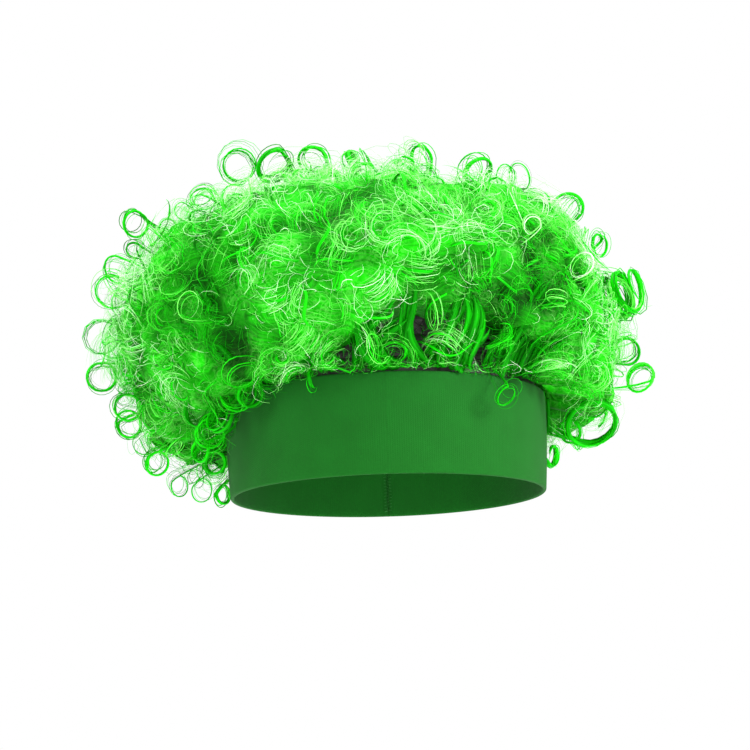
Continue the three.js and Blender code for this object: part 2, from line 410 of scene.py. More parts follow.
def net_threads(threads, steps, from_share, to_share):
    """Two families of leaning threads between two shares of the dome."""
    share = np.linspace(from_share, to_share, steps)
    meridian = dome_point(np.full(steps, TURN / 8), share, NET_SINK)
    lean = np.cumsum(steps_along(meridian) / np.linalg.norm(meridian[:, :2], axis=1))
    first = np.arange(threads) * TURN / threads
    azimuth = np.concatenate([first[:, None] + lean, first[:, None] - lean])
    paths = dome_point(azimuth, np.broadcast_to(share, azimuth.shape), NET_SINK)
    return carried(paths, paths - np.array([0, 0, CAP_RIM]), THREAD, NET_THICK, NET_THICK)


def tape_rings():
    """Closed rings of tape round the dome, on which the hair is sewn."""
    azimuth = np.arange(TAPE_STEPS) * TURN / TAPE_STEPS
    azimuth, share = np.broadcast_arrays(azimuth, np.array(TAPE_SHARES)[:, None])
    paths = dome_point(azimuth, share, NET_SINK)
    below = dome_point(azimuth, share + 0.01, NET_SINK)
    return carried(paths, below - paths, STRIP, TAPE_WIDE, TAPE_THICK, closed=True)


def elastic_strips():
    """Upright elastic from the crown to the rim, narrower near the crown."""
    azimuth = (np.arange(ELASTICS) + 0.5)[:, None] * TURN / ELASTICS
    azimuth, share = np.broadcast_arrays(azimuth, np.linspace(POLE_SHARE, RIM_SHARE, ELASTIC_STEPS))
    paths = dome_point(azimuth, share, NET_SINK)
    beside = dome_point(azimuth + 0.02, share, NET_SINK)
    return carried(paths, beside - paths, STRIP, ELASTIC_WIDE * (0.4 + 0.6 * eased(share * 3)), TAPE_THICK)


def net_material():
    """Nylon and elastane net: dark dyed, matt, with a fine twist that shows as small bright ticks."""
    material, tree, shader = new_material("nylon_elastic_net", 0.7)
    place = add_node(tree, "TexCoord").outputs["Object"]
    twist = add_node(tree, "TexNoise", {"Vector": place, "Scale": 1 / (0.9 * MM), "Detail": 2.0})
    colour = add_node(tree, "Mix", {"Factor": twist, 6: linear("#0b0d08"), 7: linear("#23261c")},
                      data_type="RGBA")
    bump = add_node(tree, "Bump", {"Height": twist, "Strength": 0.4, "Distance": 0.3 * MM})
    fill(shader, {"Base Color": colour.outputs[2], "Normal": bump})
    return material


cap_parts = [net_threads(NET_THREADS, NET_STEPS, CROWN_SHARE, RIM_SHARE),
             net_threads(CROWN_THREADS, CROWN_STEPS, POLE_SHARE, CROWN_SHARE), tape_rings(), elastic_strips()]
wig_cap = make_piece("wig_cap_net", *joined(cap_parts), net_material(), "cap_net", node="wig_cap")

# %% [markdown]
# ## The hair's form, read from the frame
# The five rows of the model are solids of the hair's outer form. The strands have to fill exactly that
# form, so it is measured and not typed again: seen from the middle of the hair, each direction has a
# reach. For a grid of directions the reach is a weighted mean of the solids' corners nearby, where
# corners further out weigh more.

# %% Reach of the form
WEFTS = ("crown_weft", "upper_weft", "middle_weft", "lower_weft", "hem_weft")
HEART = np.array([0, 0, 62]) * MM
AZIMUTH_STEPS, RISE_STEPS = 96, 57
RISE_LOW, RISE_HIGH, BLUR = np.radians((-50, 90, 4))
OUTER_PULL = 4 * MM


def node_points(node):
    """The corners of a node's triangles, in metres."""
    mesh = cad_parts[node].data
    points = np.empty(len(mesh.vertices) * 3, np.float32)
    mesh.vertices.foreach_get("co", points)
    return points.reshape(-1, 3).astype(float)


def way(azimuth, rise):
    """The unit vector at an azimuth, 0 at the front and a quarter turn at +X, and a rise above level."""
    flat = np.cos(rise)
    return np.stack([flat * np.sin(azimuth), -flat * np.cos(azimuth), np.sin(rise)], -1)


azimuths = np.arange(AZIMUTH_STEPS) * TURN / AZIMUTH_STEPS
rises = np.linspace(RISE_LOW, RISE_HIGH, RISE_STEPS)
grid_azimuth, grid_rise = np.meshgrid(azimuths, rises, indexing="ij")
grid_ways = way(grid_azimuth, grid_rise).reshape(-1, 3)
weights, moments = [], []
for weft in WEFTS:
    cloud = node_points(weft) - HEART
    far = np.linalg.norm(cloud, axis=1)
    closeness = grid_ways @ unit(cloud).T
    weight = np.exp((closeness - 1) / BLUR**2 + (far - far.max()) / OUTER_PULL)
    weights.append(weight.sum(1))
    moments.append(weight @ far)
reach_grid = (sum(moments) / sum(weights)).reshape(grid_rise.shape)
weft_grid = np.argmax(weights, axis=0).reshape(grid_rise.shape)
print("reach mm:", reach_grid.min() / MM, "to", reach_grid.max() / MM)

# %% [markdown]
# At the sides and the back the lowest tips curl under, so the reach is tucked in towards the hem. The
# solid is the form that the outermost curls fill, so where only single ringlets stand out, the mass of
# the hair is drawn in: a table by angle round the outline, seen from the front, says by how much. Over
# the brow the hair opens in shaded hollows, where only the first row stands and the dark cap shows.

# %% Lower edge, outline and hollows
TUCK = 0.2
TUCK_FROM, TUCK_RISE = np.radians((40, 24))
OUTLINE_ANGLES = np.radians(np.arange(0, 360, 10))
OUTLINE_CHANGE = MM * np.array([
    2, -1, -7, -8, -2, -5, -4, -13, 2, -5, -12, -2,
    -4, -4, -4, -8, -8, -6, -7, -11, -12, -2, 2, 0,
    0, 0, 0, 0, 0, 0, 0, 2, 1, -4, 0, 9,
])
HOLLOWS = np.radians([
    # azimuth, rise, half width, half height
    (8, -2, 5, 7.5),
    (24, -2, 7.5, 7.5),
    (-7, -6, 4, 4),
    (37, -5, 5, 5),
])
HOLLOW_DEEP, HOLLOW_BARE = 15 * MM, 0.42


def signed(azimuth):
    """An azimuth between minus and plus half a turn."""
    return (azimuth + math.pi) % TURN - math.pi


def hollow_at(azimuth, rise):
    """How hollow the hair is in a direction, from 0 to 1: a bell round the middle of each hollow."""
    turned = signed(azimuth)
    bells = [np.exp(-(((turned - a) / wide) ** 2) - ((rise - r) / high) ** 2) for a, r, wide, high in HOLLOWS]
    return np.max(bells, axis=0)


hem_cloud = node_points("hem_weft") - HEART
hem_azimuth = np.arctan2(hem_cloud[:, 0], -hem_cloud[:, 1]) % TURN
hem_column = np.round(hem_azimuth / TURN * AZIMUTH_STEPS).astype(int) % AZIMUTH_STEPS
hem_rise = np.full(AZIMUTH_STEPS, RISE_HIGH)
np.minimum.at(hem_rise, hem_column, np.arcsin(unit(hem_cloud)[:, 2]))
filled = hem_rise < RISE_HIGH
hem_rise = np.interp(azimuths, azimuths[filled], hem_rise[filled], period=TURN)
to_side = eased((np.abs(signed(azimuths)) - TUCK_FROM) / TUCK_FROM)[:, None]
reach_grid = reach_grid * (1 - TUCK * (to_side * eased(1 - (rises - hem_rise[:, None]) / TUCK_RISE)))
outline_angle = np.arctan2(grid_ways[:, 2], grid_ways[:, 0]) % TURN
outline_share = np.hypot(grid_ways[:, 0], grid_ways[:, 2]) ** 6
outline_change = np.interp(outline_angle, OUTLINE_ANGLES, OUTLINE_CHANGE, period=TURN) * outline_share
reach_grid = reach_grid + outline_change.reshape(reach_grid.shape)
reach_grid = reach_grid - HOLLOW_DEEP * hollow_at(grid_azimuth, grid_rise)
print("hem rise degrees:", np.degrees(hem_rise.min()), "to", np.degrees(hem_rise.max()))

# %% [markdown]
# With the grid in place, small functions answer the only questions that the strands ask: where is the
# form's surface in a direction, which way does it face there, and which row of hair is it?

# %% Ask the form
NORMAL_STEP = math.radians(2)
MARGIN_FRONT, MARGIN_SIDES, SIDES_FROM, SIDES_SOFT = np.radians((2, 8, 40, 45))


def grid_place(azimuth, rise):
    """A direction's column and row in the grid, as numbers that needn't be whole."""
    row = np.clip((rise - RISE_LOW) / (RISE_HIGH - RISE_LOW), 0, 1) * (RISE_STEPS - 1)
    return (azimuth % TURN) / TURN * AZIMUTH_STEPS, row


def reach_at(azimuth, rise):
    """How far the form reaches from its heart, between the four nearest grid points."""
    column, row = grid_place(azimuth, rise)
    i = np.floor(column).astype(int) % AZIMUTH_STEPS
    j = np.minimum(row.astype(int), RISE_STEPS - 2)
    along, up = column - np.floor(column), row - j
    after = (i + 1) % AZIMUTH_STEPS
    low = reach_grid[i, j] * (1 - along) + reach_grid[after, j] * along
    high = reach_grid[i, j + 1] * (1 - along) + reach_grid[after, j + 1] * along
    return low * (1 - up) + high * up


def form_point(azimuth, rise, sink=0.0):
    """A point of the form's surface, sunk towards its heart."""
    return HEART + way(azimuth, rise) * (reach_at(azimuth, rise) - sink)[..., None]


def form_normal(azimuth, rise):
    """The way that the form faces: the cross product of its slopes along azimuth and rise, half turned
    towards the way out from the heart so that it stays smooth at the crown."""
    east = form_point(azimuth + NORMAL_STEP, rise) - form_point(azimuth - NORMAL_STEP, rise)
    up = form_point(azimuth, rise + NORMAL_STEP) - form_point(azimuth, rise - NORMAL_STEP)
    return unit(unit(np.cross(east, up)) + way(azimuth, rise))


def weft_of(azimuth, rise):
    """The row of hair that a direction belongs to, as its number in WEFTS."""
    column, row = (np.round(place).astype(int) for place in grid_place(azimuth, rise))
    return weft_grid[column % AZIMUTH_STEPS, row]


def hem_at(azimuth):
    """The rise of the hair's lower edge at an azimuth."""
    return np.interp(azimuth % TURN, azimuths, hem_rise, period=TURN)


def hem_margin(azimuth):
    """How far roots keep above the lower edge, in radians: little over the forehead, more at the sides
    and back, where the tips hang down past the roots."""
    return MARGIN_FRONT + MARGIN_SIDES * eased((np.abs(signed(azimuth)) - SIDES_FROM) / SIDES_SOFT)


print("reach straight ahead mm:", reach_at(np.zeros(1), np.zeros(1)) / MM)

# %% [markdown]
# ## Clumps
# Curls gather in clumps with darker valleys between them. Middles of clumps are spread over the form by
# a golden-angle spiral, the way seeds lie on a sunflower, and nudged at random. The hair stands higher
# near a middle and lower between them.

# %% Clumps
GOLDEN = TURN * (1 - 2 / (1 + math.sqrt(5)))
CLUMPS, CLUMP_BLUR, CLUMP_HEIGHT, CLUMP_MEAN = 80, math.radians(11), 13 * MM, 0.65
KNOBS, KNOB_BLUR, KNOB_HEIGHT, KNOB_LIGHT = 700, math.radians(3.6), 5 * MM, 0.4
SHADE_DEEP = 16 * MM


def spiral_ways(count):
    """Azimuths and rises of points spread evenly over a whole sphere by the golden angle."""
    place = np.arange(count)
    return place * GOLDEN % TURN, np.arcsin(1 - 2 * (place + 0.5) / count)


def nudged_ways(count, nudge, seed):
    """Spiral points as unit vectors, each moved a little at random."""
    random = np.random.default_rng(seed)
    return unit(way(*spiral_ways(count)) + random.normal(0, nudge, (count, 3)))


def bell(directions, middles, blur):
    """A bell round the nearest middle: e to the power of (cosine - 1) / blur squared."""
    return np.exp(((directions @ middles.T).max(-1) - 1) / blur**2)


clump_middles = nudged_ways(CLUMPS, 0.12, 11)
knob_middles = nudged_ways(KNOBS, 0.05, 12)


def clump_lift(azimuth, rise):
    """How far clumps lift the hair, about zero on average."""
    return CLUMP_HEIGHT * (bell(way(azimuth, rise), clump_middles, CLUMP_BLUR) - CLUMP_MEAN)


def light_at(azimuth, rise):
    """How much light falls on the hair in a direction: most on the tops of clumps and of small lumps."""
    facing = way(azimuth, rise)
    knobs = KNOB_LIGHT * (bell(facing, knob_middles, KNOB_BLUR) - CLUMP_MEAN)
    return bell(facing, clump_middles, CLUMP_BLUR) + knobs


def shade_of(points):
    """How deep points lie in the hair: 0 at its lumpy surface, and 1 at the shade's depth under it."""
    away = points - HEART
    far = np.linalg.norm(away, axis=-1)
    azimuth, rise = np.arctan2(away[..., 0], -away[..., 1]), np.arcsin(away[..., 2] / far)
    return eased((reach_at(azimuth, rise) + 0.5 * clump_lift(azimuth, rise) - far) / SHADE_DEEP)


print("clumps:", CLUMPS, "lift mm:", (clump_lift(grid_azimuth, grid_rise) / MM).round(1).max())

# %% [markdown]
# ## Hair keeps clear of the cap and the band
# Hair lies on the cap and hangs outside the band. A strand that would dip into one of them is pushed
# straight out to its surface. Over the brow the hair is cut short, and the band shows.

# %% Clear the cap and the band
HAIR_GAP = 1.0 * MM
BROW_MIDDLE, BROW_HALF, BROW_SOFT = np.radians((23, 44, 30))
BROW_DROP, BROW_RAGGED, BROW_BOUNCE = 80 * MM, 1.1 * MM, 0.35
LEAST_SHARE, HALVINGS = 0.05, 14


def oval_share(points):
    """How far out points lie, from 0 on the band's axis to 1 on its outside."""
    return np.linalg.norm(points[..., :2] / (BAND_HALF + HAIR_GAP), axis=-1)


def dome_share(points):
    """The same for the cap: the shares of its width and its height, each raised to its roundness, add up
    to 1 on its outside."""
    up = np.maximum(points[..., 2] - CAP_RIM, 0) / (CAP_TOP - CAP_RIM + HAIR_GAP)
    out = np.linalg.norm(points[..., :2] / (CAP_HALF + HAIR_GAP), axis=-1)
    return (out**CAP_ROUNDNESS + up**CAP_ROUNDNESS) ** (1 / CAP_ROUNDNESS)


def brow_height(points):
    """The lowest that hair may come: over the brow it rests on the band's top edge, a little ragged, and
    past the temples it hangs free."""
    azimuth = np.arctan2(points[..., 0], -points[..., 1])
    ragged = BROW_RAGGED * (np.sin(9 * azimuth) + np.sin(23 * azimuth + 1))
    return BAND_TOP + ragged - BROW_DROP * eased((np.abs(azimuth - BROW_MIDDLE) - BROW_HALF) / BROW_SOFT)


def cleared(points, hangs=False):
    """The points, with those inside the band's oval or the cap's dome moved out to just clear of it. Hair
    that comes down on the band's top edge turns up again there, unless it hangs over the band."""
    points = points.copy()
    under = np.where(hangs, 0, np.maximum(brow_height(points) - points[..., 2], 0))
    points[..., 2] += (1 + BROW_BOUNCE) * under
    beside = points[..., 2] < BAND_TOP + HAIR_GAP
    points[..., :2] *= np.where(beside, 1 / np.clip(oval_share(points), LEAST_SHARE, 1), 1.0)[..., None]
    above = points[..., 2] > CAP_RIM
    grow = np.where(above, 1 / np.clip(dome_share(points), LEAST_SHARE, 1), 1.0)
    points[..., :2] *= grow[..., None]
    points[..., 2] = np.where(above, CAP_RIM + (points[..., 2] - CAP_RIM) * grow, points[..., 2])
    return points


def root_reach(azimuth, rise):
    """How far the cap or the band reaches from the form's heart in a direction, found by halving."""
    inner, outer = np.zeros(azimuth.shape), reach_at(azimuth, rise)
    for _ in range(HALVINGS):
        middle = (inner + outer) / 2
        points = HEART + way(azimuth, rise) * middle[..., None]
        beside = (points[..., 2] < BAND_TOP + HAIR_GAP) & (oval_share(points) < 1)
        under = (points[..., 2] > CAP_RIM) & (dome_share(points) < 1)
        inner = np.where(beside | under, middle, inner)
        outer = np.where(beside | under, outer, middle)
    return outer


print("cap or band straight ahead mm:", root_reach(np.zeros(1), np.zeros(1)) / MM)

# %% [markdown]
# ## Inner hair
# Between the cap and the outer curls lies a dense mass of crimped fibre. Nobody sees its single strands:
# it is the soft green body that shows between the curls. So it is one lumpy shell, 0.86 as thick as the
# hair. For each azimuth its section runs up the outside from above the hem to the crown, then back down
# along the cap. Over the brow it starts higher, and higher still at a hollow.

# %% Inner hair surface
BED_COLUMNS, BED_ROWS, BED_ROOT_ROWS = 144, 50, 8
BED_SHARE, FULL_THICK, BED_CLEAR = 0.86, 45 * MM, 0.8 * MM
BED_MARGIN, HOLLOW_LIFT, BED_CROWN = np.radians((5, 10, 88.5))
FRONT_LIFT, FRONT_REACH, FRONT_MIDDLE = np.radians((9, 42, 25))
POLE_GAP, FOOT_GAP, BED_LIFT, KNOB_MEAN = 0.02, 0.04, 0.8, 0.6
# Painted shading of the inner hair: light on clumps, lumps and the crown, painted shade in the valleys.
CLUMP_SHADING, KNOB_SHADING, CROWN_LIGHTING, VALLEY_SHADING, LEAST_SHADING = 0.75, 0.62, 0.12, 0.34, 0.1


def bed_surface():
    """Sections as described above, outside and inside, each from one end to the other."""
    azimuth = (np.arange(BED_COLUMNS) * TURN / BED_COLUMNS)[:, None]
    aside = np.abs(signed(azimuth - FRONT_MIDDLE))
    lower = hem_at(azimuth) + hem_margin(azimuth) + BED_MARGIN
    lower = lower + FRONT_LIFT * eased(2 - 2 * aside / FRONT_REACH)
    lower = lower + HOLLOW_LIFT * hollow_at(azimuth, lower)
    rise = lower + (BED_CROWN - lower) * np.linspace(0, 1, BED_ROWS)
    azimuth_out = np.broadcast_to(azimuth, rise.shape)
    thick = reach_at(azimuth_out, rise) - root_reach(azimuth_out, rise)
    knob = KNOB_HEIGHT * (bell(way(azimuth_out, rise), knob_middles, KNOB_BLUR) - KNOB_MEAN)
    lumps = (BED_LIFT * clump_lift(azimuth_out, rise) + knob) * eased(thick / FULL_THICK)
    outside = cleared(form_point(azimuth_out, rise, thick * (1 - BED_SHARE) - lumps))
    foot = HEART + way(azimuth, lower) * root_reach(azimuth, lower)[..., None]
    up = np.clip((foot[..., 2] - CAP_RIM) / (CAP_TOP - CAP_RIM), POLE_GAP, 1)
    last = np.arccos(up ** (CAP_ROUNDNESS / 2)) / (TURN / 4) - FOOT_GAP
    share = POLE_GAP + (last - POLE_GAP) * np.linspace(0, 1, BED_ROOT_ROWS)
    inside = dome_point(np.broadcast_to(azimuth, share.shape), share, BED_CLEAR)
    edge = oval_point(azimuth, BAND_HALF + HAIR_GAP, BAND_TOP + HAIR_GAP)
    over = np.where(foot[..., 2:] < BAND_TOP, edge, (inside[:, -1:] + foot) / 2)
    return np.concatenate([foot, outside], 1), np.concatenate([inside, over], 1)


def bed_painted_shading(points):
    """Painted shade and light on each point of the inner hair, as a grey: darkest in the painted shade of the
    valleys between clumps and between the small lumps, and lighter on their tops and towards the crown."""
    away = unit(points - HEART)
    clump, knob = bell(away, clump_middles, CLUMP_BLUR), bell(away, knob_middles, KNOB_BLUR)
    shade = CLUMP_SHADING * clump + KNOB_SHADING * knob + CROWN_LIGHTING * away[:, 2] - VALLEY_SHADING
    shade = np.maximum(shade, LEAST_SHADING)
    return np.stack([shade, shade, shade, np.ones(len(points))], -1)


def shell_faces(columns, rows, other_rows, first_pole):
    """Quads of the outside and the inside, the strip that joins them at the hem, and a fan at each pole."""
    out = np.arange(columns * rows).reshape(columns, rows)
    ins = columns * rows + np.arange(columns * other_rows).reshape(columns, other_rows)
    quads = []
    for grid in (out, ins):
        east = np.roll(grid, -1, 0)
        quads.append(np.stack([grid[:, :-1], east[:, :-1], east[:, 1:], grid[:, 1:]], -1).reshape(-1, 4))
    foot, last = out[:, 0], ins[:, -1]
    quads.append(np.stack([last, np.roll(last, -1), np.roll(foot, -1), foot], -1))
    crown = np.stack([out[:, -1], np.roll(out[:, -1], -1), np.full(columns, first_pole)], -1)
    hollow = np.stack([np.roll(ins[:, 0], -1), ins[:, 0], np.full(columns, first_pole + 1)], -1)
    return [np.concatenate(quads), crown, hollow]


bed_outside, bed_inside = bed_surface()
print("inner hair, outside and inside:", bed_outside.shape, bed_inside.shape)

# %% [markdown]
# ## Matted fibre
# The mass isn't smooth: its fibres are combed round the head in fine lines, and stray fibres lie over them,
# mixed towards pale green as a painted highlight. Both are patterns in the material, because at this depth no
# single fibre is seen whole. A comb line is about 1 mm wide, and the stray fibres curve round patches of
# about 5 mm.

# %% Matted fibre material
LINE_LEVELS, LINE_WIDE, LINE_SEED = 6.0, 0.16, 0.31
STRAY_SIZE, PATCH_SIZE, DEEP_SIZE = 5 * MM, 22 * MM, 20 * MM
COMB_SPAN, COMB_SCALES = 120 * MM, (10, 10, 120)
SWIRLS, SWIRL_BEND = 5.0, 0.35


def thin_lines(tree, place, size, seed):
    """Thin curved lines like stray fibres: smooth noise with lumps of a size is multiplied by the number
    of levels, and a line runs where the product passes a whole number. Gives 1 on a line, 0 elsewhere."""
    moved = add_node(tree, "Mapping", {"Vector": place, "Location": (seed, 2 * seed, 3 * seed)})
    noise = add_node(tree, "TexNoise", {"Vector": moved, "Scale": 1 / size, "Detail": 1.5})
    levels = add_node(tree, "Math", {0: noise, 1: LINE_LEVELS}, operation="MULTIPLY")
    away = add_node(tree, "Math", {0: levels, 1: 0.5}, operation="PINGPONG")
    return add_node(tree, "MapRange", {"Value": away, "From Max": LINE_WIDE, "To Min": 1.0, "To Max": 0.0})


def tangle(tree, place, size):
    """Three families of thin lines over each other, thicker in some places than in others."""
    lines = thin_lines(tree, place, size, LINE_SEED)
    for k in (1, 2):
        more = thin_lines(tree, place, size * (1 + 0.3 * k), LINE_SEED * (k + 1))
        lines = add_node(tree, "Math", {0: lines, 1: more}, operation="MAXIMUM")
    patches = add_node(tree, "TexNoise", {"Vector": place, "Scale": 1 / PATCH_SIZE, "Detail": 1.0})
    share = add_node(tree, "MapRange", {"Value": patches, "From Min": 0.4, "From Max": 0.62, "To Min": 0.15})
    return add_node(tree, "Math", {0: lines, 1: share}, operation="MULTIPLY")


def bed_material():
    """Crimped modacrylic fibre in the mass: deep green, with fine lines combed round the head, which swirl
    like wood grain, under a tangle of stray fibres mixed towards pale green as a painted highlight. The whole
    is multiplied by the painted shade and light of its points."""
    material, tree, shader = new_material("matted_modacrylic", 0.6)
    place = add_node(tree, "TexCoord").outputs["Object"]
    away = add_node(tree, "VectorMath", {0: place, 1: tuple(HEART)}, operation="SUBTRACT")
    outward = add_node(tree, "VectorMath", {0: away, "Scale": 1 / COMB_SPAN}, operation="SCALE")
    swirl = add_node(tree, "TexNoise", {"Vector": outward, "Scale": SWIRLS, "Detail": 1.0})
    bent = add_node(tree, "VectorMath", {0: swirl.outputs["Color"], 1: (SWIRL_BEND,) * 3, 2: outward},
                    operation="MULTIPLY_ADD")
    combed = add_node(tree, "Mapping", {"Vector": bent, "Scale": COMB_SCALES})
    grain = add_node(tree, "TexNoise", {"Vector": combed, "Scale": 1.0, "Detail": 2.0})
    lines = add_node(tree, "MapRange", {"Value": grain, "From Min": 0.34, "From Max": 0.64})
    deep = add_node(tree, "TexNoise", {"Vector": place, "Scale": 1 / DEEP_SIZE, "Detail": 2.0})
    tone = add_node(tree, "MapRange", {"Value": deep, "From Min": 0.36, "From Max": 0.62, "To Max": 0.4})
    mixed = add_node(tree, "Math", {0: lines, 1: 0.6, 2: tone}, operation="MULTIPLY_ADD")
    body = add_node(tree, "Mix", {"Factor": mixed, 6: linear("#046400"), 7: linear("#1cca0a")},
                    data_type="RGBA")
    # Painted highlight: the stray fibres are mixed towards pale green.
    stray = add_node(tree, "Math", {0: tangle(tree, place, STRAY_SIZE), 1: 0.4}, operation="MULTIPLY")
    mass = add_node(tree, "Mix", {"Factor": stray, 6: body.outputs[2], 7: linear("#7cec62")},
                    data_type="RGBA")
    # Painted shading of the points darkens the valleys and lightens the clump tops and the crown.
    tone_with_shade = add_node(tree, "Attribute", attribute_name="tone_with_painted_shade")
    colour = add_node(tree, "VectorMath", {0: mass.outputs[2], 1: tone_with_shade}, operation="MULTIPLY")
    bump = add_node(tree, "Bump", {"Height": lines, "Strength": 0.6, "Distance": 0.4 * MM})
    fill(shader, {"Base Color": colour, "Normal": bump, "Specular IOR Level": 0.03})
    return material


poles = [[[0, 0, bed_outside[:, -1, 2].mean()]], [[0, 0, CAP_TOP + BED_CLEAR]]]
bed_points = np.concatenate([bed_outside.reshape(-1, 3), bed_inside.reshape(-1, 3), *poles])
bed_faces = shell_faces(BED_COLUMNS, bed_outside.shape[1], bed_inside.shape[1], len(bed_points) - 2)
make_piece("inner_hair", bed_points, bed_faces, bed_material(), "curled_fibre", colours_with_shade=bed_painted_shading(bed_points))

# %% [markdown]
# ## Curled locks
# The wig's fibre is set in ringlets 9 to 21 mm across. A ringlet is a bundle of fibres that leaves the
# cap together and winds round a common axis, so it is made as that: a lock has an axis, a radius and a
# few turns, and each of its strands is a helix round nearly the same axis. The helix starts sunk in the
# hair and climbs out as it winds. Particle hair could be combed to look so, but strands with a real
# section can be exported, and each can be checked. All kinds of locks share one sort of table.

# %% Tables of locks and their paths
PLAIN_LOCK = {"deep": 1.0, "half": 0.0, "depth": 0.0, "drop": 0.0, "fan": 0.0, "wide": 1.0, "taper": 0.2,
              "facing": False, "hangs": False}
ROOT_RADIUS, OPENING, TIP_CLOSING = 0.75, 2.5, 0.18


def lock_table(centre, normal, axis, **columns):
    """A table with one row a lock: its middle, the way out of the hair, the way it winds along, and
    further columns. A single number is the same in all rows, and a column not given has its plain value.
    Fibres spread along the axis unless a column says otherwise."""
    table = {"centre": centre, "normal": normal, "axis": axis, "spread": axis}
    for name, values in {**PLAIN_LOCK, **columns}.items():
        table[name] = values if np.ndim(values) else np.full(len(axis), values)
    return table


def picked(table, chosen):
    """The rows of a table that are chosen."""
    return {name: values[chosen] for name, values in table.items()}


def square_to(axis, near):
    """The part of one way that is square to an axis, made a unit."""
    return unit(near - (near * axis).sum(-1, keepdims=True) * axis)


def curl_paths(locks, steps):
    """Helices: centre + radius * (cos * inward * deep + sin * beside) + axis * pitch * turn, sunk against
    the normal at the root and dropped towards the tip. Deep is 1 for a round coil and less for a wave
    that lies flat. The radius opens after the root and closes a little at the tip."""
    share = np.linspace(0, 1, steps)[None, :]
    each = {name: values[:, None] for name, values in locks.items()}
    axis, normal, turns = each["axis"], each["normal"], each["turns"]
    inward = square_to(axis, -normal)
    beside = np.cross(axis, inward)
    angle = each["start"] + turns * TURN * share
    opened = ROOT_RADIUS + (1 - ROOT_RADIUS) * eased(share * OPENING)
    winding = each["radius"] * opened * (1 - TIP_CLOSING * share**3)
    climb = each["pitch"] * turns * (share - 0.5)
    sunk = each["depth"] * (1 - eased(share / each["stem"]))
    paths = each["centre"] + axis * climb[..., None]
    paths = paths + inward * (winding * each["deep"] * np.cos(angle))[..., None]
    paths = paths + beside * (winding * np.sin(angle))[..., None]
    paths = paths - normal * sunk[..., None]
    paths[..., 2] -= each["drop"] * share**2
    return cleared(paths, each["hangs"])


print("columns with a plain value:", sorted(PLAIN_LOCK))

# %% [markdown]
# ## Where the locks grow
# Locks are spread evenly over the form by the same golden-angle spiral. Seven in ten are coils, which
# wind on the spot. The others are waves, which run along the hair as they wind. Each gets its own size,
# lean and turns from a seeded generator, so that every run of the lesson grows the same hair.

# %% Sites of the locks
LOCK_SITES, CORE_SINK, CORE_TURNS, ARC_DEPTH = 1000, 1.5 * MM, 1.2, 3 * MM
WAVE_SHARE, WAVE_DEEP, PROUD_SHARE, PROUD_OUT = 0.3, 0.35, 0.03, 6 * MM
PROUD_LOW, PROUD_HIGH, HIGHEST, FACING_LEAN = np.radians((0, 55, 89, 50))
LIGHT_TONE, LIGHT_MEAN, CORE_DARKER, CORE_LIGHTEST = 0.6, 0.6, 0.16, 0.36


def on_hair(azimuth, rise, margins=1.0):
    """The directions that lie on the hair, above its hem by some margins and out of the hollows."""
    above = rise > hem_at(azimuth) + margins * hem_margin(azimuth)
    kept = above & (hollow_at(azimuth, rise) < HOLLOW_BARE)
    return azimuth[kept], rise[kept]


def lit_tone(random, azimuth, rise, middle, vary, climb, most):
    """Tones that vary about a middle, with painted light that rises towards the crown and follows the light
    on clumps and lumps, up to a limit.
    """
    tone = random.normal(middle, vary, len(rise)) + climb * np.sin(rise)
    return np.minimum(tone + LIGHT_TONE * (light_at(azimuth, rise) - LIGHT_MEAN), most)


def lock_sites():
    """The locks' table. A coil's axis leans between the way out and level, a wave's is about level."""
    random = np.random.default_rng(3)
    azimuth, rise = spiral_ways(LOCK_SITES)
    azimuth = azimuth + random.normal(0, 0.05, LOCK_SITES)
    rise = np.clip(rise + random.normal(0, 0.04, LOCK_SITES), RISE_LOW, HIGHEST)
    azimuth, rise = on_hair(azimuth, rise)
    count = len(azimuth)
    wave = random.random(count) < WAVE_SHARE

    def either(waves, coils):
        """A random number between the first limits for a wave, and between the second for a coil."""
        return np.where(wave, random.uniform(*waves, count), random.uniform(*coils, count))

    normal = form_normal(azimuth, rise)
    tangent = square_to(normal, random.normal(0, 1, (count, 3)))
    lean = np.radians(either((72, 95), (5, 75)))
    axis = unit(normal * np.cos(lean)[:, None] + tangent * np.sin(lean)[:, None])
    radius = either((5, 10), (4.5, 10.5)) * MM
    deep = np.where(wave, WAVE_DEEP, 1.0)
    proud = radius * np.sin(lean) * deep
    sink = proud + random.uniform(-1, 4, count) * MM - clump_lift(azimuth, rise)
    sink = np.maximum(sink, proud - 1 * MM)
    sprung = (random.random(count) < PROUD_SHARE) & (rise > PROUD_LOW) & (rise < PROUD_HIGH)
    sink = np.where(sprung, proud - PROUD_OUT, sink)
    facing = lean < FACING_LEAN
    return lock_table(
        form_point(azimuth, rise) - normal * sink[:, None], normal, axis,
        spread=np.where(wave[:, None], unit(np.cross(normal, axis) + axis), axis),
        radius=radius, deep=deep, facing=facing,
        fan=np.where(facing, random.uniform(0.2, 0.42, count), 0.04),
        half=random.uniform(2.2, 4.6, count) * MM,
        turns=either((0.8, 1.3), (0.95, 1.7)),
        pitch=either((22, 40), (1.5, 6)) * MM,
        start=random.normal(0, 0.6, count),
        depth=random.uniform(12, 20, count) * MM,
        stem=0.38,
        drop=random.uniform(0, 4, count) * MM,
        tone=lit_tone(random, azimuth, rise, 0.56, 0.09, 0.24, 0.82),
        row=weft_of(azimuth, rise),
    )


def surface_arcs(locks, low, high, seed):
    """The same locks cut down to the arc that faces outwards, where single fibres show."""
    random = np.random.default_rng(seed)
    count = len(locks["radius"])
    turns = random.uniform(low, high, count)
    quarter = random.choice([-1, 1], count) * math.pi / 2
    start = math.pi * (1 - turns) + np.where(locks["deep"] < 1, quarter, 0)
    return {**locks, "turns": turns, "start": start, "depth": np.full(count, ARC_DEPTH)}


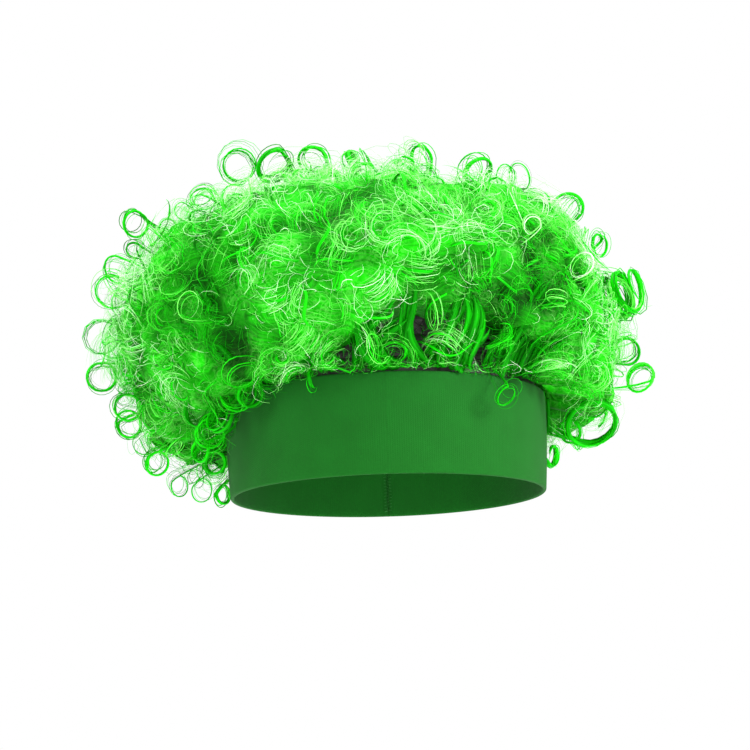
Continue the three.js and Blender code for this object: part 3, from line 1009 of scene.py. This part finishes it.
def core_locks(locks):
    """The same locks drawn in a little and darker, as the shaded core under their outer fibres."""
    return {**locks, "radius": locks["radius"] - CORE_SINK, "turns": np.minimum(locks["turns"], CORE_TURNS),
            "tone": np.minimum(locks["tone"] - CORE_DARKER, CORE_LIGHTEST)}


locks = lock_sites()
eye_arcs = surface_arcs(picked(locks, locks["facing"]), 0.6, 0.95, 4)
side_arcs = surface_arcs(picked(locks, ~locks["facing"]), 0.5, 0.85, 6)
print("locks:", len(locks["radius"]), "of them facing out:", locks["facing"].sum())

# %% [markdown]
# ## Hairline
# Over the forehead the first row of hair stands up from the band's top edge and turns over. Between its
# locks, and in two gaps that they keep clear of, the dark cap can be seen. These locks are flat waves,
# each on an axis from the band's top fold to the form. Short stray fibres lie along the edge.

# %% Sites of the hairline
HAIRLINE_LOCKS, HAIRLINE_REACH, HAIRLINE_INSET = 25, math.radians(66), 1.2 * MM
HAIRLINE_GAPS = np.radians([(9, 3.5), (36, 6)])
EDGE_FIBRES, EDGE_OUT, FLAT_DEEP = 240, 0.5 * MM, 0.4
HEM_ROW = len(WEFTS) - 1


def hairline_sites():
    """A table like the locks' one: each axis runs from a foot on the band to a head on the form."""
    random = np.random.default_rng(8)
    count = HAIRLINE_LOCKS
    azimuth = np.linspace(-HAIRLINE_REACH, HAIRLINE_REACH, count) + random.normal(0, 0.02, count)
    for middle, half in HAIRLINE_GAPS:
        aside = azimuth - middle
        azimuth = np.where(np.abs(aside) < half, middle + half * np.where(aside < 0, -1, 1), azimuth)
    turned = azimuth + random.normal(0, 0.12, count)
    rise = np.radians(random.uniform(4, 18, count))
    foot = oval_point(azimuth, BAND_HALF - HAIRLINE_INSET, BAND_TOP + HAIRLINE_INSET)
    head = form_point(turned, rise, random.uniform(4, 9, count) * MM)
    normal = form_normal(azimuth, rise)
    axis = unit(head - foot)
    turns = random.uniform(0.45, 0.85, count)
    return lock_table(
        (foot + head) / 2, normal, axis,
        spread=np.cross(normal, axis),
        radius=random.uniform(3, 6.5, count) * MM,
        deep=FLAT_DEEP,
        half=random.uniform(1.6, 4.6, count) * MM,
        turns=turns,
        pitch=np.linalg.norm(head - foot, axis=1) / turns,
        start=random.normal(0, 0.5, count),
        depth=1 * MM,
        stem=0.3,
        # Painted shade: the hairline locks are dark, as in the shade of the hair over them.
        tone=random.normal(-0.04, 0.08, count),
        row=HEM_ROW,
    )


def edge_sites():
    """A table like the locks' one: short stray fibres along the band's top edge, where the hair is sewn."""
    random = np.random.default_rng(13)
    count = EDGE_FIBRES
    azimuth = random.uniform(-HAIRLINE_REACH, HAIRLINE_REACH, count)
    height = BAND_TOP + random.uniform(0, 5, count) * MM
    axis = unit(random.normal(0, 1, (count, 3)) * (1, 1, 0.5))
    return lock_table(
        oval_point(azimuth, BAND_HALF + EDGE_OUT, height), way(azimuth, np.zeros(count)), axis,
        radius=random.uniform(1, 3.5, count) * MM,
        deep=FLAT_DEEP,
        turns=random.uniform(0.4, 0.8, count),
        pitch=random.uniform(6, 18, count) * MM,
        start=random.uniform(0, TURN, count),
        stem=0.4,
        tone=random.normal(0.6, 0.2, count),
        row=HEM_ROW,
    )


hairline = hairline_sites()
edge = edge_sites()
print("hairline locks:", len(hairline["radius"]), "edge fibres:", len(edge["radius"]))

# %% [markdown]
# ## Ringlets at the outline
# Single ringlets stand clear of the mass, and they give the wig its ragged outline. The photograph shows
# where: each row of the table is one of them, with its middle, its size and the way it faces. Their
# stems go back into the hair towards its heart. Between them thinner loops come out all over the hair.

# %% Sites of the ringlets
RINGLETS = np.array([
    # x, y, z and radius mm, turns, pitch mm, turned and tipped degrees, half width and strand width mm
    (-123.7, 16, 145.3, 7, 1.5, 2.5, 35, -15, 0.9, 2.0),
    (-69.3, -16, 166.4, 9.3, 2.3, 1.2, 8, -8, 0.9, 1.2),
    (-89.2, 7, 155.6, 7.3, 1.6, 1.5, -15, 25, 0.6, 0.9),
    (-96.7, -22, 142.4, 5, 1.3, 1.0, 20, 0, 0.5, 0.7),
    (-50.3, -40, 160.5, 9, 1.5, 4.0, 40, -45, 2.4, 2.4),
    (-31.2, -2, 170.2, 7, 1.3, 3.0, -20, -50, 1.6, 2.2),
    (-9.9, -40, 158.4, 9.5, 1.5, 6.0, 65, 20, 2.6, 2.6),
    (21.3, -1, 169.1, 7.5, 1.6, 4.0, -50, -20, 2.0, 2.0),
    (48.9, -38, 153.9, 8, 1.4, 4.0, 30, -40, 2.4, 2.4),
    (64.7, 14, 162, 6.5, 1.7, 2.0, 45, -10, 0.7, 1.0),
    (70, -15, 155.6, 7.5, 1.4, 2.0, -50, -15, 0.6, 0.9),
    (72.5, -45, 135, 8, 1.5, 1.0, 10, -62, 1.0, 1.8),
    (92.7, -20, 137.9, 8, 1.3, 3.0, -15, -25, 1.4, 2.0),
    (110.4, 18, 127.5, 6, 1.5, 2.0, 55, -10, 1.0, 1.6),
    (118, -12, 95, 11.5, 3.0, 8.0, 58, 6, 0.8, 3.4),
    (116, -10, 93, 10, 2.4, 8.0, 50, 10, 0.8, 2.6),
    (122.4, 24, 72.5, 6.6, 1.5, 1.5, 15, -10, 1.0, 2.2),
    (126, -12, 53.7, 7.6, 2.0, 2.5, -35, 20, 0.9, 1.4),
    (101, 0, 33, 13.5, 1.5, 2.5, 12, -42, 1.2, 3.4),
    (91, 5, 31, 6.5, 1.4, 2.0, -40, -15, 1.0, 2.0),
    (83.6, 30, 21.2, 5.5, 1.2, 2.0, 60, -10, 0.8, 2.4),
    (-142.9, 26, 68.5, 7.6, 1.5, 1.2, 20, -10, 1.0, 1.8),
    (-126.9, -10, 48.1, 7.2, 1.6, 1.5, 10, 10, 1.0, 1.6),
    (-130.5, 30, 44.5, 7.2, 1.6, 1.5, -15, -10, 1.0, 1.8),
    (-115, 1, 21.2, 5.8, 1.5, 1.5, 35, -10, 1.0, 2.0),
    (-107.1, 36, 13.9, 5.4, 1.3, 1.0, 45, 0, 0.5, 0.9),
    (-91.4, -8, 5.7, 6, 1.4, 1.0, 40, -5, 0.5, 0.9),
    (-83.9, -17, 16.8, 5.8, 1.5, 1.2, -25, 0, 1.0, 2.0),
    (-83.5, 28, 7.3, 5.2, 1.2, 1.0, 55, 0, 0.9, 1.8),
    (-132.6, -22, 104, 9, 1.4, 2.0, 15, 5, 0.8, 1.4),
    (-133.2, 20, 121.8, 7.5, 1.3, 2.0, -20, -20, 0.8, 1.4),
    (-122.1, -12, 125.6, 4.5, 1.4, 1.5, 10, 10, 0.7, 1.4),
    (-108, 22, 141.5, 5.5, 1.5, 1.5, 30, -10, 0.7, 1.2),
    (-88.5, -60, 37.5, 8.5, 2.2, 1.2, -20, -8, 1.6, 1.6),
    (-71, -72, 44, 8.5, 2.0, 1.5, -10, -5, 1.8, 1.6),
    (-79, -66, 33, 7.5, 1.7, 2.5, -40, 15, 2.2, 2.0),
    (-64, -77, 41, 6.0, 1.3, 3.0, 30, -30, 1.8, 1.8),
    (-84, -60, 27, 7.0, 1.6, 2.0, 20, -10, 2.0, 1.8),
    (-88, -52, 19, 6.0, 1.4, 2.0, -50, 5, 1.6, 1.6),
    (57, -86, 36.5, 5.6, 1.4, 1.0, 40, -35, 0.4, 0.9),
    (-35, -91, 45, 4.5, 0.7, 8.0, 70, -10, 0.8, 1.6),
])
FRONT_HANG, HANG_FROM, HANG_RISE = -65 * MM, 46 * MM, 60 * MM
FRINGE_SITES = 170


def ringlet_sites():
    """The table above as a table like the locks' one: a ringlet's normal points away from the heart, or
    from well above it where the ringlet hangs over the band, and its axis is turned from the front and
    tipped from level."""
    random = np.random.default_rng(9)
    count = len(RINGLETS)
    place = RINGLETS[:, :3] * MM
    radius, turns, pitch, turned, tipped, half, wide = RINGLETS[:, 3:].T
    over_band = (place[:, 1] < FRONT_HANG) & (place[:, 2] < HANG_FROM)
    normal = unit(place - HEART - over_band[:, None] * np.array([0, 0, HANG_RISE]))
    return lock_table(
        place, normal, way(np.radians(turned), np.radians(tipped)),
        radius=radius * MM, half=half * MM, wide=wide, hangs=True, taper=0.35, turns=turns, pitch=pitch * MM,
        start=random.normal(0, 0.5, count),
        depth=random.uniform(28, 36, count) * MM,
        stem=0.3 / turns,
        tone=random.normal(0.3, 0.08, count),
        row=weft_of(np.arctan2(normal[:, 0], -normal[:, 1]), np.arcsin(normal[:, 2])),
    )


def fringe_sites():
    """A table like the locks' one of thin loops all over the form, half out of it."""
    random = np.random.default_rng(10)
    azimuth, rise = on_hair(*spiral_ways(FRINGE_SITES))
    count = len(azimuth)
    normal = form_normal(azimuth, rise)
    axis = unit(square_to(normal, random.normal(0, 1, (count, 3))) + random.normal(0, 0.3, (count, 3)))
    turns = random.uniform(1.0, 1.8, count)
    return lock_table(
        form_point(azimuth, rise, random.uniform(-4, 5, count) * MM), normal, axis,
        radius=random.uniform(4, 9, count) * MM,
        half=random.uniform(0.5, 1.5, count) * MM,
        turns=turns,
        pitch=random.uniform(1, 4, count) * MM,
        start=random.normal(0, 0.5, count),
        depth=random.uniform(14, 20, count) * MM,
        stem=0.35 / turns,
        drop=random.uniform(0, 2, count) * MM,
        # Painted light: lighter towards the crown.
        tone=random.normal(0.5, 0.12, count) + 0.1 * np.sin(rise),
        row=weft_of(azimuth, rise),
    )


ringlets = ringlet_sites()
fringe = fringe_sites()
print("ringlets:", len(ringlets["radius"]), "thin loops:", len(fringe["radius"]))

# %% [markdown]
# ## Loose fibres
# Over the curls lies a haze of single fibres that have left their locks. They are short open waves of
# all sizes and ways, thin and pale, because a thin fibre catches the light from all sides.

# %% Sites of the loose fibres
LOOSE_SITES, LOOSE_MARGIN = 9700, 0.2


def loose_sites():
    """A table like the locks' one, with one fibre a site, sparse waves and no common way."""
    random = np.random.default_rng(5)
    azimuth = random.uniform(0, TURN, LOOSE_SITES)
    rise = np.arcsin(random.uniform(math.sin(RISE_LOW), 1, LOOSE_SITES))
    azimuth, rise = on_hair(azimuth, rise, LOOSE_MARGIN)
    count = len(azimuth)
    normal = form_normal(azimuth, rise)
    sink = random.uniform(0, 8, count) * MM - 0.9 * clump_lift(azimuth, rise)
    axis = unit(random.normal(0, 1, (count, 3)) - 0.3 * normal)
    return lock_table(
        form_point(azimuth, rise) - normal * np.maximum(sink, 1 * MM)[:, None], normal, axis,
        radius=random.uniform(1.2, 6, count) * MM,
        turns=random.uniform(0.3, 0.75, count),
        pitch=random.uniform(5, 24, count) * MM,
        start=random.uniform(0, TURN, count),
        depth=random.uniform(0, 2, count) * MM,
        stem=0.6,
        drop=random.uniform(0, 3, count) * MM,
        tone=lit_tone(random, azimuth, rise, 0.72, 0.14, 0.22, 0.97),
        row=weft_of(azimuth, rise),
    )


loose = loose_sites()
print("loose fibres:", len(loose["radius"]))

# %% [markdown]
# ## Colour of the fibre
# The fibre is dyed one green, but it never looks one colour: it is deep green in the shade of the
# hair, clear green on the curls and nearly white where thin fibres catch the light. A tone from 0 to 1
# runs along that scale, and each point of each strand carries the colour of its tone.

# %% Tones of the fibre
TONES = (0.0, 0.25, 0.5, 0.75, 1.0)
TONE_COLOURS = ("#047600", "#08a800", "#18cc08", "#7cec62", "#eefce8")
tone_table = np.array([linear(code) for code in TONE_COLOURS])


def toned(tone):
    """The linear colour of each tone, between the named colours."""
    return np.stack([np.interp(tone, TONES, channel) for channel in tone_table.T], -1)


print("middle tone:", toned(0.5).round(3))

# %% [markdown]
# ## From sites to strands
# Each lock becomes a core, one low ribbon that is nearly hidden, and a dozen or more thin fibres that
# follow the same curl less exactly. A core's and a fibre's section is a triangle: three corners are the
# fewest that close. Only the ringlets at the outline, which are seen alone, get a round section.

# %% Bundles of strands
SHADE_TONE, ROOT_SHADE_TONE, TONE_MIDDLE = 0.34, 0.2, 0.55
ROOT_WIDTH, ROOT_RATE, TIP_END, TIP_RATE, LEAST_WIDTH, FULL_WIDTH = 0.55, 2, 1.03, 4, 0.1, 1.1


def bundle(sites, strands, steps, stray, vary, wide, flat, seed):
    """Strands of each site: copies of its row, set side by side across twice its half width and strayed
    by a share of it, with radius, turns and start varied, and tone by its own amount. Widths are between
    two limits in millimetres and narrow at both ends, and flat times a width is a height."""
    random = np.random.default_rng(seed)
    lock = {name: np.repeat(values, strands, axis=0) for name, values in sites.items()}
    count = len(lock["radius"])
    place = np.tile(np.linspace(-1, 1, strands) if strands > 1 else [0.0], count // strands)
    place = place + random.normal(0, stray, count)
    lock["axis"] = unit(lock["axis"] + random.normal(0, 0.05 + 0.1 * stray, (count, 3)))
    lock["centre"] = lock["centre"] + lock["spread"] * (place * lock["half"])[:, None]
    lock["centre"] = lock["centre"] + random.normal(0, 0.4 + stray, (count, 3)) * MM
    lock["radius"] = lock["radius"] * random.normal(1, 0.05 + 0.1 * stray, count)
    lock["radius"] = lock["radius"] * (1 + lock["fan"] * place)
    lock["turns"] = lock["turns"] * random.normal(1, 0.06 + 0.1 * stray, count)
    lock["start"] = lock["start"] + random.normal(0, 0.15 + 0.4 * stray, count)
    paths = curl_paths(lock, steps)
    share = np.linspace(0, 1, steps)
    taper = np.minimum(ROOT_WIDTH + ROOT_RATE * share, 1)
    taper = taper * np.clip((TIP_END - share) * TIP_RATE, LEAST_WIDTH, 1)
    taper = taper * (FULL_WIDTH - lock["taper"][:, None] * share)
    widths = (lock["wide"] * random.uniform(*wide, count))[:, None] * MM * taper
    tones = lock["tone"][:, None] + random.normal(0, vary, count)[:, None]
    # Painted shade: darker at the root, deep in the hair, and lighter towards the tip.
    tones = tones + ROOT_SHADE_TONE * (share - TONE_MIDDLE)
    outward = paths - lock["centre"][:, None]
    return {
        "paths": paths,
        "across": np.where(lock["facing"][:, None, None], outward, lock["spread"][:, None]),
        "widths": widths,
        "heights": widths * flat,
        "tones": tones - SHADE_TONE * shade_of(paths),
        "rows": lock["row"],
    }


# Each call names its sites, strands, steps, stray, vary, width limits, flat and seed.
cores = bundle(core_locks(locks), 1, 15, 0.15, 0.06, (0.8, 1.8), 0.25, 21)
eye_fibres = bundle(eye_arcs, 13, 11, 0.7, 0.1, (0.05, 0.1), 1.0, 22)
side_fibres = bundle(side_arcs, 15, 8, 0.7, 0.1, (0.05, 0.1), 1.0, 29)
front_cores = bundle(hairline, 4, 16, 0.15, 0.05, (2.2, 3.8), 0.12, 24)
front_fibres = bundle(hairline, 20, 12, 0.3, 0.1, (0.06, 0.11), 1.0, 27)
ring_ribbons = bundle(ringlets, 1, 40, 0.1, 0.05, (1.1, 1.45), 0.55, 25)
ring_fibres = bundle(ringlets, 4, 30, 0.5, 0.15, (0.08, 0.16), 1.0, 26)
loops = bundle(fringe, 3, 20, 0.3, 0.15, (0.14, 0.26), 1.0, 28)
haze = bundle(loose, 1, 7, 0.0, 0.05, (0.045, 0.085), 1.0, 23)
fuzz = bundle(edge, 1, 7, 0.0, 0.1, (0.05, 0.1), 1.0, 30)
print("fibres of the locks:", len(eye_fibres["rows"]) + len(side_fibres["rows"]))

# %% [markdown]
# ## Fibre material
# The fibre is modacrylic, a spun plastic: smooth and shiny, with light that runs along each fibre. A strand
# of the mesh stands for several fibres, so fine streaks along it break up its colour and its shine: they vary
# the tone from fibre to fibre, and they paint shade and highlight between the fibres. The streaks follow the
# strand's own UV map. At 0.1 mm real fibres are too fine to show, so the streaks are about 1 mm wide and 18
# mm long.

# %% Fibre material
STREAK_WIDE, STREAK_LONG = 1.0, 18.0


def fibre_material():
    """Modacrylic wig fibre: extruded and heat-set, a soft gloss, with streaks along the strand that vary its
    tone and paint shade and highlight on the point colour.
    """
    material, tree, shader = new_material("modacrylic_fibre", 0.5)
    tone_with_shade = add_node(tree, "Attribute", attribute_name="tone_with_painted_shade")
    place = add_node(tree, "UVMap", uv_map="fibre")
    stretch = add_node(tree, "Mapping", {"Vector": place, "Scale": (1 / STREAK_WIDE, 1 / STREAK_LONG, 1)})
    streak = add_node(tree, "TexNoise", {"Vector": stretch, "Scale": 1.0, "Detail": 2.0})
    # The streaks darken and lighten the colour: painted shade and highlight between fibres, and tone from
    # fibre to fibre.
    shade = add_node(tree, "MapRange", {"Value": streak, "From Min": 0.3, "From Max": 0.65, "To Min": 0.5,
                                        "To Max": 1.3})
    colour = add_node(tree, "VectorMath", {0: tone_with_shade, 1: shade}, operation="MULTIPLY")
    bump = add_node(tree, "Bump", {"Height": streak, "Strength": 0.6, "Distance": 0.3 * MM})
    fill(shader, {"Base Color": colour, "Normal": bump, "Specular IOR Level": 0.05})
    return material


fibre = fibre_material()
print("material:", fibre.name)

# %% [markdown]
# ## Two meshes for each row
# The strands of a row are joined in two meshes, its curls and its frizz, because one would hold too many
# triangles. Each strand brings two UV maps: one in millimetres for its streaks, and one that lays all
# strands out in cells beside each other, so that a texture can be baked from them.

# %% Rows of hair
SHIFT_ROUND, SHIFT_ALONG, CELL_EDGE = 7.3, 3.1, 0.06


def strand_maps(widths, paths, sides, low, high, tall):
    """The fibre map: millimetres round and along each strand, shifted so that no two strands match. The
    bake map: a cell for each strand between the heights low and high, tall times as high as wide."""
    count, steps = widths.shape
    length = np.linalg.norm(np.diff(paths, axis=1), axis=2).sum(1) / MM
    girth = widths.max(1) / MM * 2
    ring, step = np.arange(sides), np.arange(steps - 1)
    u = np.stack([ring, ring + 1, ring + 1, ring], -1) / sides
    v = np.stack([step, step, step + 1, step + 1], -1) / (steps - 1)
    shape = (count, steps - 1, sides, 4)
    quads = np.stack([np.broadcast_to(u[None, None], shape), np.broadcast_to(v[None, :, None], shape)], -1)
    bottom = np.stack([ring[::-1] / sides, np.zeros(sides)], -1)
    top = np.stack([ring / sides, np.ones(sides)], -1)
    place = np.concatenate([quads.reshape(-1, 2), np.tile(bottom, (count, 1)), np.tile(top, (count, 1))])
    each = np.arange(count)
    owner = np.concatenate([np.repeat(each, (steps - 1) * sides * 4), np.tile(np.repeat(each, sides), 2)])
    own_size = np.stack([girth, length], -1)[owner]
    fibre_map = place * own_size + np.stack([owner * SHIFT_ROUND, owner * SHIFT_ALONG], -1)
    across = max(1, math.ceil(math.sqrt(count * tall / (high - low))))
    down = math.ceil(count / across)
    cell = np.stack([owner % across, owner // across], -1)
    inside = cell + CELL_EDGE + (1 - 2 * CELL_EDGE) * place
    return fibre_map, inside / (across, down) * (1, high - low) + (0, low)


def row_strands(row, kinds):
    """All strands of one row of hair, joined: points, faces, maps and colours with painted shade and light.
    """
    parts, fibre_maps, bake_maps, colours_with_shade = [], [], [], []
    for strands, profile, low, high, tall in kinds:
        mine = picked(strands, strands["rows"] == row)
        if not len(mine["rows"]):
            continue
        parts.append(carried(mine["paths"], mine["across"], profile, mine["widths"], mine["heights"]))
        fibre_map, bake_map = strand_maps(mine["widths"], mine["paths"], len(profile), low, high, tall)
        fibre_maps.append(fibre_map)
        bake_maps.append(bake_map)
        colours_with_shade.append(np.repeat(toned(mine["tones"]).reshape(-1, 4), len(profile), axis=0))
    maps = {"fibre": np.concatenate(fibre_maps), "OFBake": np.concatenate(bake_maps)}
    return *joined(parts), maps, np.concatenate(colours_with_shade)


# Each kind has its strands, profile, lowest and highest place in the bake map, and cell height by width.
CURL_KINDS = (
    (cores, RIBBON, 0.0, 0.3, 4.0),
    (eye_fibres, THREAD, 0.3, 0.55, 4.0),
    (side_fibres, THREAD, 0.55, 0.75, 4.0),
    (front_cores, RIBBON, 0.75, 0.8, 4.0),
    (front_fibres, THREAD, 0.8, 0.9, 4.0),
    (ring_ribbons, ROUND, 0.9, 1.0, 6.0),
)
FRIZZ_KINDS = (
    (haze, THREAD, 0.0, 0.8, 3.0),
    (fuzz, THREAD, 0.8, 0.85, 3.0),
    (ring_fibres, THREAD, 0.85, 0.9, 6.0),
    (loops, THREAD, 0.9, 1.0, 6.0),
)
for row, weft in enumerate(WEFTS):
    for ending, kinds in (("curls", CURL_KINDS), ("frizz", FRIZZ_KINDS)):
        points, faces, maps, colours_with_shade = row_strands(row, kinds)
        make_piece(f"{weft}_{ending}", points, faces, fibre, "curled_fibre", maps, colours_with_shade, node=weft)

# %% [markdown]
# ## Camera, light and floor
# The camera stands where the photograph's did: straight in front, a little below the band, so that the
# inside of the band's back shows under its front edge. It is tipped a little, because the wig sits
# slightly askew in the picture. Four soft lights and a white sky give the even light of a studio, with
# the key from the right. The camera sees the sky pure white, and the wig gets seven tenths of it.

# %% Camera
FRAME_PIXELS = 750
PIXELS_PER_MM = 2.025
ORIGIN_PIXEL = (388.5, 496.6)
CAMERA_RISE, CAMERA_ROLL = math.radians(-8.6), math.radians(1.8)
CAMERA_AWAY = 1.5
SENSOR = 36.0


def standing(right, up, back, place):
    """The matrix of a camera or lamp: its three axes and its place as columns."""
    rows = np.eye(4)
    rows[:3] = np.stack([right, up, back, place], -1)
    return Matrix(rows.tolist())


def aim_camera():
    """Turns the camera's axes by its rise and roll, then backs it off from the point in the middle of
    the picture, which lies as far from the wig's origin as the origin's pixel is from the middle."""
    back = np.array([0, -math.cos(CAMERA_RISE), math.sin(CAMERA_RISE)])
    level = np.array([1.0, 0, 0])
    upright = np.cross(back, level)
    right = level * math.cos(CAMERA_ROLL) - upright * math.sin(CAMERA_ROLL)
    up = upright * math.cos(CAMERA_ROLL) + level * math.sin(CAMERA_ROLL)
    shift = (np.array(ORIGIN_PIXEL) - FRAME_PIXELS / 2) / PIXELS_PER_MM * MM
    middle = -right * shift[0] + up * shift[1]
    data = bpy.data.cameras.new("camera")
    data.sensor_width = SENSOR
    data.lens = SENSOR * CAMERA_AWAY / (FRAME_PIXELS / PIXELS_PER_MM * MM)
    camera = add_object("camera", data)
    camera.matrix_world = standing(right, up, back, middle + back * CAMERA_AWAY)
    bpy.context.scene.camera = camera
    print("camera lens", round(data.lens, 1))


aim_camera()

# %% Lights
LAMPS = (
    # name, place and target m, size m, watts
    ("key_light", (1.4, -0.6, 0.6), (0, 0, 0.07), 0.5, 42),
    ("left_fill", (-1.1, -0.5, 0.4), (0, 0, 0.07), 0.5, 8),
    ("top_light", (-0.1, -0.1, 1.3), (0, 0, 0.07), 0.7, 30),
    ("low_fill", (0.0, -1.0, -0.2), (0, 0.05, 0.03), 0.4, 7.5),
)
for name, place, target, size, power in LAMPS:
    data = bpy.data.lights.new(name, "AREA")
    data.shape = "SQUARE"
    data.size = size
    data.energy = power
    back = unit(np.array(place) - np.array(target))
    right = unit(np.cross([0.0, 0.0, 1.0], back))
    add_object(name, data).matrix_world = standing(right, np.cross(back, right), back, place)
    print(name, power, "W")

# %% Floor and sky
FLOOR_DOWN, FLOOR_HALF = 0.3, 0.95
SKY_LIGHT = 0.7
floor_mesh = bpy.data.meshes.new("studio_floor")
corners = [(x * FLOOR_HALF, y * FLOOR_HALF, -FLOOR_DOWN) for x, y in ((-1, -1), (1, -1), (1, 1), (-1, 1))]
floor_mesh.from_pydata(corners, [], [(0, 1, 2, 3)])
floor_paint, _, floor_shader = new_material("pale_floor_paint", 0.9)
fill(floor_shader, {"Base Color": linear("#f4f4f2")})
floor_mesh.materials.append(floor_paint)
floor = add_object("studio_floor", floor_mesh)
world = bpy.data.worlds.new("white_studio")
world.use_nodes = True
tree = world.node_tree
shown = tree.nodes["Background"]
fill(shown, {"Color": linear("#ffffff"), "Strength": 1.0})
thrown = add_node(tree, "Background", {"Color": linear("#ffffff"), "Strength": SKY_LIGHT})
seen = add_node(tree, "LightPath").outputs["Is Camera Ray"]
sky = add_node(tree, "MixShader", {"Fac": seen, 1: thrown, 2: shown})
fill(tree.nodes["World Output"], {"Surface": sky})
bpy.context.scene.world = world
bpy.context.scene.view_settings.view_transform = "Standard"
print("floor m below the wig:", FLOOR_DOWN)

# %% [markdown]
# ## What is cloth
# Two pieces are sheets: the band was cut from 48 by 540 mm of double jersey, and the cap from an oval of
# net. Both are stretched on the head.

print("sheets:", headband.name, wig_cap.name)
